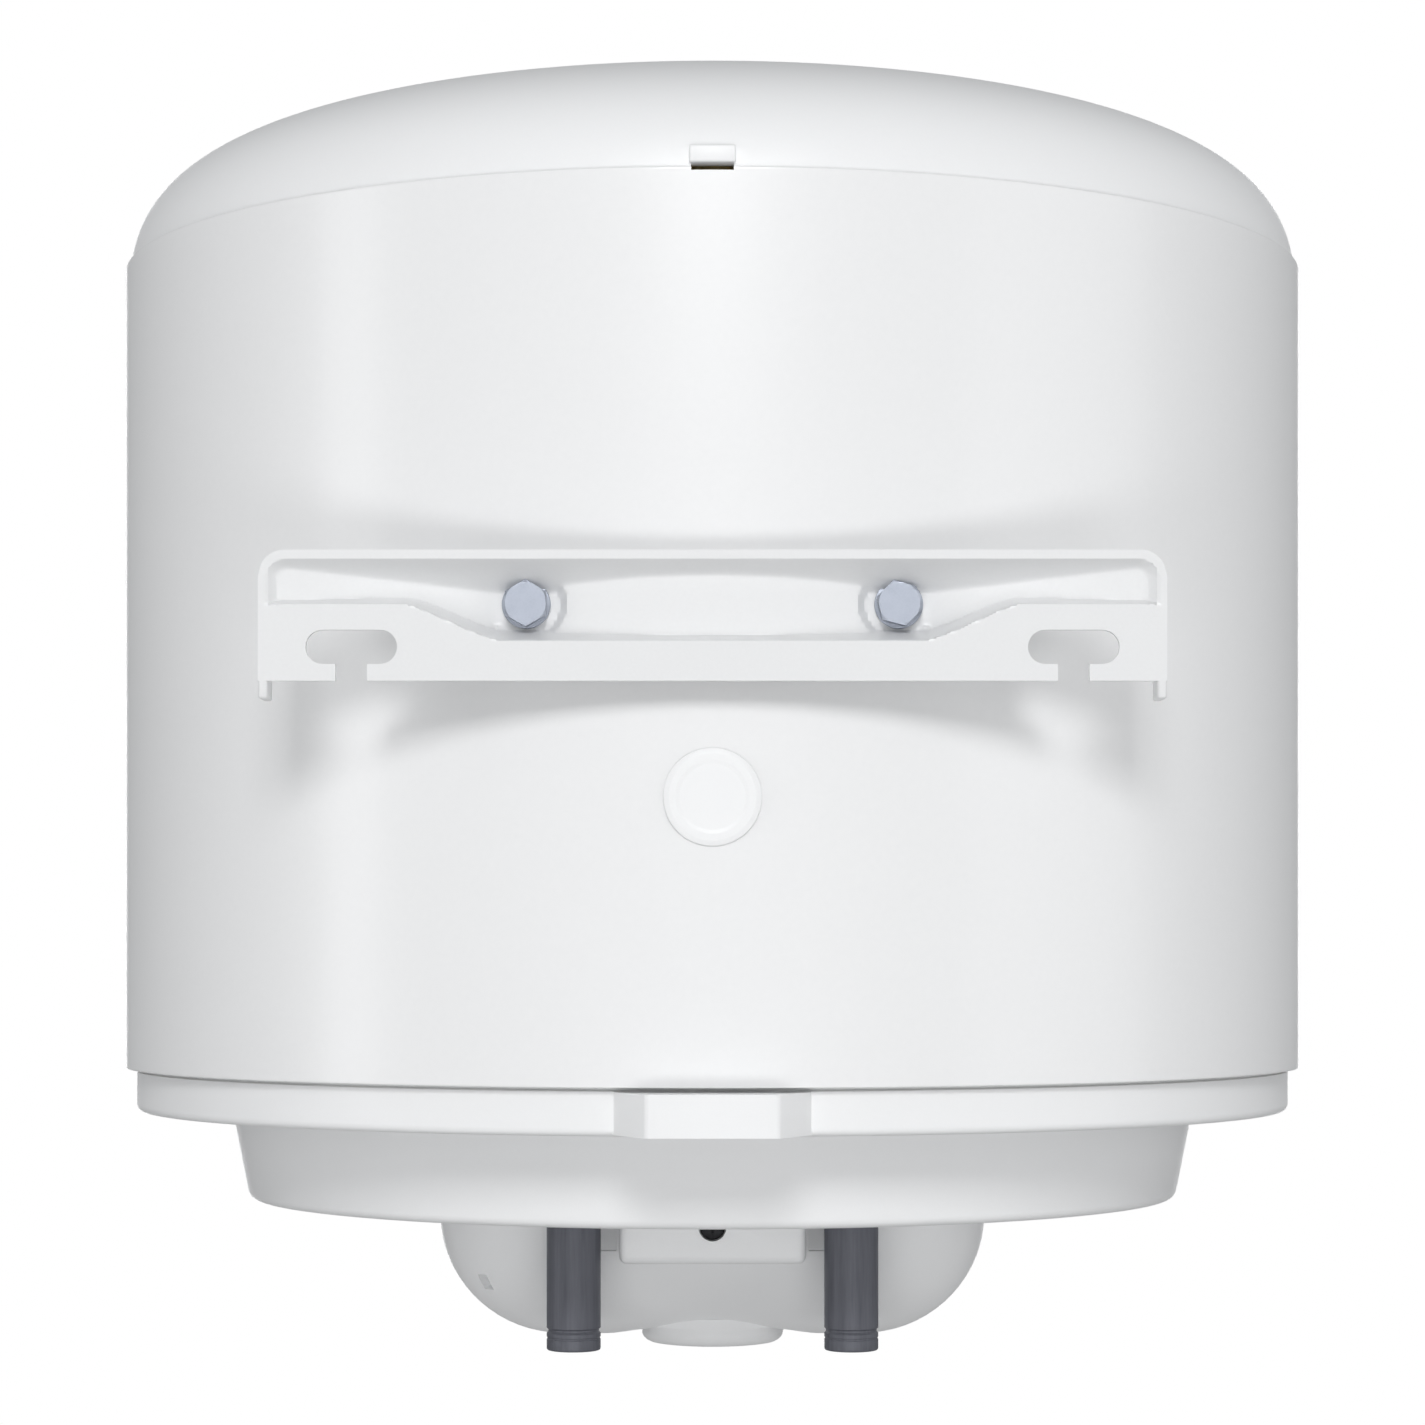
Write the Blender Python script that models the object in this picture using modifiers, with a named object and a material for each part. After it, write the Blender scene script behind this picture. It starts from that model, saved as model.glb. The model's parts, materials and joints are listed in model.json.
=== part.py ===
"""Compact wall-hung electric storage water heater, built as an assembly of its real pieces.

Frame: metres, +Z up. The wall is the plane Y = 0 and the heater stands off it towards -Y.
The origin is the middle of the wall bracket's lower strip, on the face that meets the wall.
"""

import math

import bmesh
import bpy
from mathutils import Matrix, Vector

GAP = 0.0003                       # clearance kept between pieces that touch
MERGE = 0.00001
ROUND_STEPS = 48                   # sides of the large outer shells
INNER_STEPS = 32                   # sides of the tank and its foam
SMALL_SIDES = 16
DOME_STEPS = 8
DOME_INNER_STEPS = 5

# Outer shells
AXIS_Y = -0.234                    # the tank's axis, measured from the wall
JACKET_RADIUS = 0.220
JACKET_WALL = 0.0008
JACKET_TOP = 0.159
JACKET_BOTTOM = -0.1356
CAP_RADIUS = 0.2184
CAP_WALL = 0.0025
CAP_SKIRT = 0.010
DOME_START = 0.1536                # where the cap's side begins to curve in
DOME_SHOULDER = 0.2096
DOME_CROWN_RADIUS = 0.1459
DOME_APEX = 0.2166
LATCH_WIDTH = 0.0150
LATCH_SLOT_HALF = 0.00685
LATCH_SLOT_BOTTOM = 0.1578
LATCH_SLOT_TOP = 0.1603

# Bottom cap
RING_RADIUS = 0.2158
RING_TOP = -0.125
RING_BOTTOM = -0.1515
CUP_TOP_RADIUS = 0.1807
CUP_RADIUS = 0.1748
CUP_SIDE_END = -0.1815
CUP_BOTTOM = -0.1846
CUP_EDGE = 0.1712
SERVICE_RADIUS = 0.060             # opening under the heater flange
SPACER_FACE_HALF = 0.02125
SPACER_ROOT_HALF = 0.032
SPACER_ROOT_Y = -0.021
SPACER_TOP = -0.1371
SPACER_BOTTOM = -0.1509

# Inner tank
TANK_RADIUS = 0.185
TANK_WALL = 0.002
TANK_HEAD = 0.050
TANK_SIDE_TOP = 0.128
TANK_SIDE_BOTTOM = -0.115
COLLAR_RADIUS = 0.056
COLLAR_BORE = 0.036
COLLAR_BOTTOM = -0.175

# Water pipes
PIPE_X = 0.050
PIPE_Y = AXIS_Y + 0.071
PIPE_RADIUS = 0.00975
PIPE_BORE = 0.007
PIPE_END = -0.236
PIPE_TOP = -0.151
SEAL_RADIUS = 0.014

# Heater flange and what it carries
FLANGE_TOP = -0.1776
FLANGE_BOTTOM = -0.1826
FLANGE_BOLT_CIRCLE = 0.047
FLANGE_BOLTS = 5
ELEMENT_HALF = 0.013
ELEMENT_Y = AXIS_Y - 0.025
ELEMENT_RADIUS = 0.004
ANODE_Y = AXIS_Y + 0.024
EARTH_X = 0.027
EARTH_Y = AXIS_Y - 0.038

# Thermostat, reset button and knob, on the tank's axis
THERMOSTAT_HALF = 0.020
THERMOSTAT_TOP = -0.1913
THERMOSTAT_BOTTOM = -0.215
BUTTON_OFFSET = 0.012
BUTTON_RADIUS = 0.0025
BUTTON_WELL = -0.2037
KNOB_RADIUS = 0.027
KNOB_BOTTOM = -0.2406
KNOB_TOP = -0.2318

# Electrical cover
COVER_HALF = 0.1035
COVER_FRONT = AXIS_Y - 0.105
COVER_REAR = AXIS_Y + 0.057
COVER_TOP = -0.1849
COVER_BOTTOM = -0.2362
COVER_DRAFT = 0.1
COVER_EDGE = 0.040
COVER_WALL = 0.0022
COVER_FRONT_CORNER = 0.080
COVER_REAR_CORNER = 0.050
LUG_HALF = 0.0337
LUG_REAR = AXIS_Y + 0.075
LUG_BOTTOM = -0.205
KNOB_RECESS = 0.040
KNOB_RECESS_Z = -0.2311
SCREW_Z = -0.1917
SCREW_RECESS = 0.00495
RELIEF_DEPTH = 0.0016              # shallow pockets in the cover's wall, beside the pipes
BLIND_SLOT_AT = (0.0840, AXIS_Y + 0.0363, -0.215)
BLIND_SLOT_SIZE = (0.0050, 0.0068)
BLIND_SLOT_DEPTH = 0.0050
SLOT_BOSS_SIZE = (0.0076, 0.0094)
SLOT_BOSS_DEPTH = 0.0065
BLIND_SLOT_DIP = math.radians(28)
BLIND_SLOT_TURN = math.radians(43.85)
RELIEF_X = 0.0455
RELIEF_Z = -0.187
RELIEF_SIZE = (0.021, 0.030)

# Wall bracket: a pressed tray whose strip, ears and rim lie against the wall
BRACKET_SHEET = 0.003
BRACKET_HALF = 0.1435
BRACKET_TOP = 0.035
BRACKET_RIM = 0.032
BRACKET_BOTTOM = -0.0064
STRIP_TOP = 0.0065
EAR_TOP = 0.018
EAR_START = 0.0676
EAR_FULL = 0.097
TRAY_END = 0.1375
CORNER_RADIUS = 0.0085
FLOOR_RADIUS = 0.227               # the tray floor between the bolts follows the jacket
BOLT_X = 0.0595
BOLT_Z = 0.019
BOLT_DEPTH = 0.0155
END_DEPTH = 0.004
PAD_HALF = 0.0105
RIM_SLOPE = math.tan(math.radians(30))
SLOT_X = 0.114
SLOT_LENGTH = 0.029
SLOT_BOTTOM = -0.0011
SLOT_TOP = 0.0097
THROAT_WIDTH = 0.010
BOLT_SHANK = 0.00395
HEX_FLATS = 0.013
HEX_HEIGHT = 0.0053

PLUG_Z = -0.0425
PLUG_RADIUS = 0.0158


def clear_scene():
    for obj in list(bpy.data.objects):
        bpy.data.objects.remove(obj, do_unlink=True)


def new_collection(name, hidden=False):
    collection = bpy.data.collections.new(name)
    bpy.context.scene.collection.children.link(collection)
    collection.hide_render = hidden
    return collection


clear_scene()
PARTS = new_collection("water_heater")
CUTTERS = new_collection("cutters", hidden=True)


def material(name, color, roughness, metallic=0.0):
    made = bpy.data.materials.new(name)
    made.use_nodes = True
    shader = made.node_tree.nodes["Principled BSDF"]
    shader.inputs["Base Color"].default_value = (*color, 1.0)
    shader.inputs["Roughness"].default_value = roughness
    shader.inputs["Metallic"].default_value = metallic
    return made


ENAMEL = ((0.86, 0.86, 0.86), 0.25)
WHITE_PLASTIC = ((0.85, 0.85, 0.85), 0.40)
PIPE_GREY = ((0.10, 0.10, 0.13), 0.45, 0.3)
ZINC = ((0.55, 0.58, 0.64), 0.35, 0.9)
STEEL = ((0.55, 0.55, 0.55), 0.35, 1.0)
TANK_BLUE = ((0.06, 0.10, 0.18), 0.35)
FOAM = ((0.80, 0.68, 0.42), 0.90)
BLACK_OXIDE = ((0.03, 0.03, 0.035), 0.55, 0.6)
RUBBER = ((0.04, 0.04, 0.04), 0.80)
COPPER = ((0.70, 0.35, 0.20), 0.35, 1.0)
MAGNESIUM = ((0.50, 0.50, 0.48), 0.60, 1.0)
BLACK_PLASTIC = ((0.04, 0.04, 0.045), 0.50)
RED = ((0.60, 0.03, 0.02), 0.40)
BROWN = ((0.20, 0.07, 0.02), 0.50)
BLUE = ((0.02, 0.08, 0.40), 0.50)
GREEN = ((0.10, 0.35, 0.05), 0.50)
AMBER = ((0.80, 0.25, 0.03), 0.15)


def place(name, mesh, location=(0, 0, 0), look=None):
    """A new object in the parts, or among the cutters when it has no look."""
    obj = bpy.data.objects.new(name, mesh)
    obj.location = location
    if look is None:
        CUTTERS.objects.link(obj)
        obj.hide_render = True
        obj.display_type = "WIRE"
    else:
        PARTS.objects.link(obj)
        obj.data.materials.append(material(name, *look))
    return obj


def mesh_from(bm, name, smooth=True):
    bmesh.ops.recalc_face_normals(bm, faces=bm.faces)
    mesh = bpy.data.meshes.new(name)
    bm.to_mesh(mesh)
    bm.free()
    if smooth:
        mesh.shade_smooth()
        mesh.set_sharp_from_angle(angle=math.radians(35))
    return mesh


def box(name, low, high, look=None):
    bm = bmesh.new()
    bmesh.ops.create_cube(bm, size=1.0)
    size = [b - a for a, b in zip(low, high)]
    middle = [(a + b) / 2 for a, b in zip(low, high)]
    bmesh.ops.scale(bm, vec=size, verts=bm.verts)
    return place(name, mesh_from(bm, name, smooth=False), middle, look)


def cylinder(name, radius, start, end, look=None, sides=SMALL_SIDES, turn=0.0):
    """A cylinder between two points; its first corner is turned about its own axis."""
    start, end = Vector(start), Vector(end)
    bm = bmesh.new()
    bmesh.ops.create_cone(
        bm, cap_ends=True, segments=sides, radius1=radius, radius2=radius,
        depth=(end - start).length,
    )
    bmesh.ops.rotate(bm, verts=bm.verts, matrix=Matrix.Rotation(turn, 3, "Z"))
    along = (end - start).to_track_quat("Z", "Y").to_matrix()
    bmesh.ops.rotate(bm, verts=bm.verts, matrix=along)
    return place(name, mesh_from(bm, name), (start + end) / 2, look)


def turned(name, points, location, look=None, steps=ROUND_STEPS, ring=False, lying=False):
    """A profile of (radius, height) points turned about Z, or about Y when it is lying."""
    bm = bmesh.new()
    verts = [bm.verts.new((radius, 0, height)) for radius, height in points]
    for a, b in zip(verts, verts[1:]):
        bm.edges.new((a, b))
    if ring:
        bm.edges.new((verts[-1], verts[0]))
    mesh = bpy.data.meshes.new(name)
    bm.to_mesh(mesh)
    bm.free()
    obj = place(name, mesh, location, look)
    if lying:
        obj.rotation_euler.x = -math.pi / 2
    screw = obj.modifiers.new("turn", "SCREW")
    screw.angle = 2 * math.pi
    screw.steps = steps
    screw.render_steps = steps
    screw.use_merge_vertices = True
    screw.merge_threshold = MERGE
    screw.use_smooth_shade = True
    return obj


def outline_plate(name, points, low, high, look=None):
    """A flat outline in X and Y, made solid between two heights."""
    bm = bmesh.new()
    face = bm.faces.new([bm.verts.new((x, y, low)) for x, y in points])
    grown = bmesh.ops.extrude_face_region(bm, geom=[face])["geom"]
    moved = [item for item in grown if isinstance(item, bmesh.types.BMVert)]
    bmesh.ops.translate(bm, verts=moved, vec=(0, 0, high - low))
    return place(name, mesh_from(bm, name, smooth=False), (0, 0, 0), look)


def wire(name, points, radius, look, resolution=2):
    curve = bpy.data.curves.new(name, "CURVE")
    curve.dimensions = "3D"
    curve.bevel_depth = radius
    curve.bevel_resolution = resolution
    curve.use_fill_caps = True
    spline = curve.splines.new("POLY")
    spline.points.add(len(points) - 1)
    for point, place_at in zip(spline.points, points):
        point.co = (*place_at, 1.0)
    return place(name, curve, (0, 0, 0), look)


def smooth_route(points, between=3):
    """Points read from a smooth curve through the route's own points."""
    route = [Vector(p) for p in points]
    ends = [2 * route[0] - route[1], *route, 2 * route[-1] - route[-2]]
    made = []
    for a, b, c, d in zip(ends, ends[1:], ends[2:], ends[3:]):
        for step in range(between):
            t = step / between
            made.append(0.5 * (
                2 * b + (c - a) * t + (2 * a - 5 * b + 4 * c - d) * t * t
                + (3 * b - a - 3 * c + d) * t ** 3
            ))
    return [*made, route[-1]]


def boolean(obj, other, operation):
    modifier = obj.modifiers.new(other.name, "BOOLEAN")
    modifier.operation = operation
    modifier.object = other


def cut(obj, *cutters):
    for cutter in cutters:
        boolean(obj, cutter, "DIFFERENCE")


def slanted_box(name, at, size, inner, outer, dip, turn):
    """A box in a wall at a point, from an inner to an outer reach. It faces along X, then dips and turns."""
    width, height = size
    made = box(name, (inner, -width / 2, -height / 2), (outer, width / 2, height / 2))
    made.rotation_euler = (0, dip, turn)
    facing = Vector((math.cos(dip) * math.cos(turn), math.cos(dip) * math.sin(turn), -math.sin(dip)))
    made.location = Vector(at) + facing * (inner + outer) / 2
    return made


def join(obj, *pieces):
    for piece in pieces:
        boolean(obj, piece, "UNION")


def arc(centre, radius, start, end, steps):
    """Points on a round stretch, from one angle to another, in degrees."""
    found = []
    for step in range(steps + 1):
        angle = math.radians(start + (end - start) * step / steps)
        found.append((centre[0] + radius * math.cos(angle), centre[1] + radius * math.sin(angle)))
    return found


def dome(inset, steps):
    """The cap's profile from its apex out and down to its side, moved inwards by the inset."""
    top = Vector((0, DOME_APEX - inset))
    crown = Vector((DOME_CROWN_RADIUS, DOME_APEX - inset))
    shoulder = Vector((CAP_RADIUS - inset, DOME_SHOULDER - inset))
    side = Vector((CAP_RADIUS - inset, DOME_START))
    points = []
    for step in range(steps + 1):
        t = step / steps
        point = top * (1 - t) ** 3 + crown * 3 * t * (1 - t) ** 2
        point += shoulder * 3 * t * t * (1 - t) + side * t ** 3
        points.append(tuple(point))
    return points


def tank_head(radius, depth, edge_z, sign, start=0.0, steps=4):
    """A dished head: radius and height from the start radius out to the side."""
    first = math.asin(start / radius)
    points = []
    for step in range(steps + 1):
        angle = first + (math.pi / 2 - first) * step / steps
        points.append((radius * math.sin(angle), edge_z + sign * depth * math.cos(angle)))
    return points


def tank_outside(grow):
    """The tank's outer profile, from its top centre down to the edge of the bottom collar."""
    reach = COLLAR_RADIUS if grow == 0 else SERVICE_RADIUS + 0.002
    top = tank_head(TANK_RADIUS + grow, TANK_HEAD + grow, TANK_SIDE_TOP, 1)
    bottom = tank_head(TANK_RADIUS + grow, TANK_HEAD + grow, TANK_SIDE_BOTTOM, -1, start=reach)
    return [*top, *reversed(bottom)]


def hex_bolt(name, head, axis, shank, look=ZINC):
    """A hex-head bolt: head is the middle of the head's underside, axis points up its shank."""
    head, axis = Vector(head), Vector(axis)
    top = head - axis * HEX_HEIGHT
    turn = math.radians(30)
    bolt = cylinder(name, HEX_FLATS / 2 / math.cos(turn), top, head, look, sides=6, turn=turn)
    reach = head + axis * shank
    join(bolt, cylinder(name + "_shank", BOLT_SHANK, head - axis * HEX_HEIGHT / 2, reach, sides=12))
    return bolt


def latch_slot(use):
    """The slot across the seam between the top cap and the jacket."""
    wall = AXIS_Y + JACKET_RADIUS
    return box(f"latch_slot_{use}", (-LATCH_SLOT_HALF, wall - 0.01, LATCH_SLOT_BOTTOM),
               (LATCH_SLOT_HALF, wall + 0.01, LATCH_SLOT_TOP))


def make_jacket():
    inner = JACKET_RADIUS - JACKET_WALL
    jacket = turned("jacket", [
        (JACKET_RADIUS, JACKET_TOP), (JACKET_RADIUS, JACKET_BOTTOM),
        (inner, JACKET_BOTTOM), (inner, JACKET_TOP),
    ], (0, AXIS_Y, 0), ENAMEL, ring=True)
    wall_side = AXIS_Y + JACKET_RADIUS
    cut(jacket, latch_slot("jacket"))
    cut(jacket, cylinder(
        "port_hole", 0.0138, (0, wall_side - 0.03, PLUG_Z), (0, wall_side + 0.01, PLUG_Z)))
    for side in (-1, 1):
        cut(jacket, cylinder(
            f"boss_hole_{side}", 0.0115, (side * BOLT_X, AXIS_Y + 0.19, BOLT_Z),
            (side * BOLT_X, AXIS_Y + 0.23, BOLT_Z)))


def make_top_cap():
    skirt = JACKET_TOP - CAP_SKIRT
    cap = turned("top_cap", [
        *dome(0, DOME_STEPS), (CAP_RADIUS, skirt), (CAP_RADIUS - CAP_WALL, skirt),
        *reversed(dome(CAP_WALL, DOME_INNER_STEPS)),
    ], (0, AXIS_Y, 0), WHITE_PLASTIC)
    wall = AXIS_Y + CAP_RADIUS
    join(cap, box(
        "latch_hood", (-LATCH_WIDTH / 2, wall - CAP_WALL / 2, LATCH_SLOT_TOP),
        (LATCH_WIDTH / 2, wall + 0.0018, 0.1660)))
    cut(cap, latch_slot("cap"))


def spacer_outline(inset):
    return [
        (-SPACER_ROOT_HALF + inset, SPACER_ROOT_Y + inset),
        (SPACER_ROOT_HALF - inset, SPACER_ROOT_Y + inset),
        (SPACER_FACE_HALF - inset, -inset),
        (-SPACER_FACE_HALF + inset, -inset),
    ]


def make_bottom_cap():
    inner = RING_RADIUS - CAP_WALL
    shelf = RING_BOTTOM + CAP_WALL
    floor = CUP_BOTTOM + CAP_WALL
    cap = turned("bottom_cap", [
        (RING_RADIUS, RING_TOP),
        *arc((RING_RADIUS - 0.003, RING_BOTTOM + 0.003), 0.003, 0, -90, 3),
        (CUP_TOP_RADIUS, RING_BOTTOM),
        (CUP_RADIUS, CUP_SIDE_END), (CUP_RADIUS - 0.0013, CUP_SIDE_END - 0.0018),
        (CUP_EDGE, CUP_BOTTOM), (SERVICE_RADIUS, CUP_BOTTOM), (SERVICE_RADIUS, floor),
        (CUP_EDGE - 0.0015, floor), (CUP_RADIUS - CAP_WALL, CUP_SIDE_END),
        (CUP_TOP_RADIUS - CAP_WALL, shelf), (inner, shelf), (inner, RING_TOP),
    ], (0, AXIS_Y, 0), WHITE_PLASTIC, ring=True)
    spacer = outline_plate("spacer_block", spacer_outline(0), SPACER_BOTTOM, SPACER_TOP)
    hollow = outline_plate(
        "spacer_hollow", spacer_outline(0.003), SPACER_BOTTOM - 0.01, SPACER_TOP - 0.003)
    cut(spacer, hollow)
    join(cap, spacer)
    for side in (-1, 1):
        cut(cap, cylinder(
            f"pipe_hole_{side}", PIPE_RADIUS + 2 * GAP, (side * PIPE_X, PIPE_Y, CUP_BOTTOM - 0.01),
            (side * PIPE_X, PIPE_Y, CUP_BOTTOM + 0.01)))
        cut(cap, box(
            f"tab_slot_{side}", (side * 0.04 - 0.009, COVER_FRONT + 0.0001, CUP_BOTTOM - 0.01),
            (side * 0.04 + 0.009, COVER_FRONT + 0.0035, CUP_BOTTOM + 0.01)))
    boss = box("screw_boss", (-0.006, COVER_REAR + 0.0045, SCREW_Z - 0.005),
               (0.006, COVER_REAR + 0.0113, CUP_BOTTOM + CAP_WALL / 2))
    join(cap, boss)
    cut(cap, cylinder("screw_boss_hole", 0.0020, (0, COVER_REAR, SCREW_Z),
                      (0, COVER_REAR + 0.02, SCREW_Z), sides=12))


def make_foam():
    rim = CAP_RADIUS - CAP_WALL - 2 * GAP
    jacket_side = JACKET_RADIUS - JACKET_WALL - 2 * GAP
    skirt = JACKET_TOP - CAP_SKIRT - GAP
    ring_side = RING_RADIUS - CAP_WALL - 3 * GAP
    shelf = RING_BOTTOM + CAP_WALL + GAP
    floor = CUP_BOTTOM + CAP_WALL + GAP
    opening = SERVICE_RADIUS + 0.002
    foam = turned("foam_insulation", [
        *dome(CAP_WALL + 4 * GAP, DOME_INNER_STEPS)[:-1], (rim, DOME_START), (rim, skirt),
        (jacket_side, skirt), (jacket_side, RING_TOP + GAP), (ring_side, RING_TOP + GAP),
        (ring_side, shelf), (CUP_TOP_RADIUS - CAP_WALL - 2 * GAP, shelf),
        (CUP_RADIUS - CAP_WALL - 2 * GAP, CUP_SIDE_END), (CUP_EDGE - 0.003, floor),
        (opening, floor), *reversed(tank_outside(GAP)),
    ], (0, AXIS_Y, 0), FOAM, steps=INNER_STEPS)
    for side in (-1, 1):
        x = side * PIPE_X
        cut(foam, cylinder(f"foam_pipe_{side}", PIPE_RADIUS + 2 * GAP,
                           (x, PIPE_Y, CUP_BOTTOM), (x, PIPE_Y, CUP_BOTTOM + 0.05)))
        cut(foam, cylinder(f"foam_seal_{side}", SEAL_RADIUS + 2 * GAP,
                           (x, PIPE_Y, CUP_BOTTOM), (x, PIPE_Y, CUP_BOTTOM + 0.0075)))
        x = side * BOLT_X
        cut(foam, cylinder(f"foam_boss_{side}", 0.0106,
                           (x, AXIS_Y + 0.16, BOLT_Z), (x, AXIS_Y + 0.23, BOLT_Z)))
    wall_side = AXIS_Y + JACKET_RADIUS
    cut(foam, box("latch_pocket", (-LATCH_WIDTH / 2, wall_side - 0.016, LATCH_SLOT_BOTTOM - 0.003),
                  (LATCH_WIDTH / 2, wall_side + 0.01, LATCH_SLOT_TOP + 0.003)))
    cut(foam, cylinder("foam_port", 0.0145, (0, AXIS_Y + 0.203, PLUG_Z), (0, AXIS_Y + 0.23, PLUG_Z)))


def make_tank():
    inner = TANK_RADIUS - TANK_WALL
    head = TANK_HEAD - TANK_WALL
    top = tank_head(inner, head, TANK_SIDE_TOP, 1)
    bottom = tank_head(inner, head, TANK_SIDE_BOTTOM, -1, start=COLLAR_BORE)
    tank = turned("inner_tank", [
        *tank_outside(0), (COLLAR_RADIUS, COLLAR_BOTTOM), (COLLAR_BORE, COLLAR_BOTTOM),
        *bottom, *reversed(top),
    ], (0, AXIS_Y, 0), TANK_BLUE, steps=INNER_STEPS)
    for side in (-1, 1):
        x = side * PIPE_X
        cut(tank, cylinder(f"tank_port_{side}", PIPE_RADIUS + GAP,
                           (x, PIPE_Y, CUP_BOTTOM), (x, PIPE_Y, -0.12)))
    for index, (x, y) in enumerate(flange_bolt_places()):
        cut(tank, cylinder(f"collar_thread_{index}", BOLT_SHANK + GAP,
                           (x, y, COLLAR_BOTTOM - 0.01), (x, y, COLLAR_BOTTOM + 0.009), sides=12))


def make_tank_bosses():
    for side, hand in ((-1, "right"), (1, "left")):
        x = side * BOLT_X
        wall_end = AXIS_Y + 0.2152
        boss = cylinder(f"tank_boss_{hand}", 0.010, (x, AXIS_Y + 0.16, BOLT_Z),
                        (x, wall_end, BOLT_Z), STEEL)
        cut(boss, cylinder(f"boss_seat_{hand}", TANK_RADIUS + 2 * GAP, (0, AXIS_Y, BOLT_Z - 0.03),
                           (0, AXIS_Y, BOLT_Z + 0.03), sides=96))
        cut(boss, cylinder(f"boss_thread_{hand}", BOLT_SHANK + GAP, (x, wall_end + 0.01, BOLT_Z),
                           (x, wall_end - 0.025, BOLT_Z), sides=12))


def make_port_plug():
    wall_side = JACKET_RADIUS
    stem = 0.0134
    turned("foam_port_plug", [
        (0, 0.0006), (0.0115, 0.0006), (0.0125, 0.0018), (0.0145, 0.0018), (PLUG_RADIUS, 0.0012),
        (PLUG_RADIUS, 0.0003), (stem, 0.0003), (stem - 0.0006, -0.009), (stem - 0.0022, -0.009),
        (stem - 0.0020, -0.0012), (0, -0.0012),
    ], (0, AXIS_Y + wall_side, PLUG_Z), WHITE_PLASTIC, steps=24, lying=True)


def bracket_depth(x):
    """How far the tray's floor lies from the wall."""
    x = abs(x)
    if x >= TRAY_END:
        return 0.0
    if x < BOLT_X - PAD_HALF - 0.002:
        return -AXIS_Y - math.sqrt(FLOOR_RADIUS ** 2 - x ** 2)
    if x <= BOLT_X + PAD_HALF:
        return BOLT_DEPTH
    share = (x - BOLT_X - PAD_HALF) / (TRAY_END - 0.0035 - BOLT_X - PAD_HALF)
    return BOLT_DEPTH + (END_DEPTH - BOLT_DEPTH) * min(share, 1.0)


def bracket_column(x):
    """One upright line of the sheet, as (height, depth) from its top edge to its bottom edge."""
    depth = bracket_depth(x)
    across = abs(x)
    share = min(max((across - EAR_START) / (EAR_FULL - EAR_START), 0.0), 1.0)
    plate_top = STRIP_TOP + (EAR_TOP - STRIP_TOP) * share
    rounding = max(across - (BRACKET_HALF - CORNER_RADIUS), 0.0)
    drop = CORNER_RADIUS - math.sqrt(max(CORNER_RADIUS ** 2 - rounding ** 2, 0.0))
    slope_end = BRACKET_RIM - max(depth * RIM_SLOPE, 0.002)
    if abs(across - BOLT_X) <= PAD_HALF + 0.0001:
        slope_end = BRACKET_RIM - 0.0025
    shrink = (BRACKET_TOP - drop - plate_top) / (BRACKET_TOP - plate_top)
    upper = [(BRACKET_TOP, 0.0), (BRACKET_RIM, 0.0), (slope_end, depth), (plate_top + 0.002, depth)]
    column = [(plate_top + (height - plate_top) * shrink, at) for height, at in upper]
    return [*column, (plate_top, 0.0), (BRACKET_BOTTOM, 0.0)]


def bracket_lines():
    """Where the sheet's upright lines stand, from end to end."""
    half = [
        0.015, 0.030, 0.042, BOLT_X - PAD_HALF - 0.0025, BOLT_X - PAD_HALF, EAR_START,
        BOLT_X + PAD_HALF, 0.084, EAR_FULL, 0.116, TRAY_END - 0.0035, TRAY_END, 0.1405, BRACKET_HALF,
    ]
    return [*[-x for x in reversed(half)], 0.0, *half]


def make_bracket():
    lines = bracket_lines()
    rows = len(bracket_column(0))
    bm = bmesh.new()
    bmesh.ops.create_grid(bm, x_segments=len(lines) - 1, y_segments=rows - 1, size=0.5)
    for vert in bm.verts:
        column = round((vert.co.x + 0.5) * (len(lines) - 1))
        row = round((0.5 - vert.co.y) * (rows - 1))
        height, depth = bracket_column(lines[column])[row]
        vert.co = (lines[column], -depth, height)
    bmesh.ops.recalc_face_normals(bm, faces=bm.faces)
    mesh = bpy.data.meshes.new("wall_bracket")
    bm.to_mesh(mesh)
    bm.free()
    bracket = place("wall_bracket", mesh, (0, 0, 0), ENAMEL)
    sheet = bracket.modifiers.new("sheet", "SOLIDIFY")
    sheet.thickness = BRACKET_SHEET
    sheet.offset = sheet_side(mesh)
    sheet.use_even_offset = True
    for side in (-1, 1):
        outer, inner = side * BRACKET_HALF, side * (BRACKET_HALF - BRACKET_SHEET)
        flange = box(f"bracket_flange_{side}", (min(outer, inner), -0.014, -0.012),
                     (max(outer, inner), -0.0001, 0.024))
        join(bracket, flange)
        cut(bracket, *slot_cutters(side))
        x = side * BOLT_X
        cut(bracket, cylinder(f"bracket_hole_{side}", 0.0045, (x, 0.01, BOLT_Z),
                              (x, -0.03, BOLT_Z), sides=16))


def sheet_side(mesh):
    """The Solidify offset that grows the sheet away from the wall."""
    return -1.0 if mesh.polygons[0].normal.y > 0 else 1.0


def slot_cutters(side):
    """A T-slot: a round-ended slot with a throat open to the bracket's lower edge."""
    middle = (SLOT_BOTTOM + SLOT_TOP) / 2
    radius = (SLOT_TOP - SLOT_BOTTOM) / 2
    reach = SLOT_LENGTH / 2 - radius
    outline = [
        *arc((reach, 0), radius, -90, 90, 6), *arc((-reach, 0), radius, 90, 270, 6),
        (-THROAT_WIDTH / 2, -radius), (-THROAT_WIDTH / 2, BRACKET_BOTTOM - middle - 0.005),
        (THROAT_WIDTH / 2, BRACKET_BOTTOM - middle - 0.005), (THROAT_WIDTH / 2, -radius),
    ]
    slot = outline_plate(f"t_slot_{side}", outline, -0.005, 0.005)
    slot.rotation_euler.x = math.pi / 2
    slot.location = (side * SLOT_X, 0, middle)
    return [slot]


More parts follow.
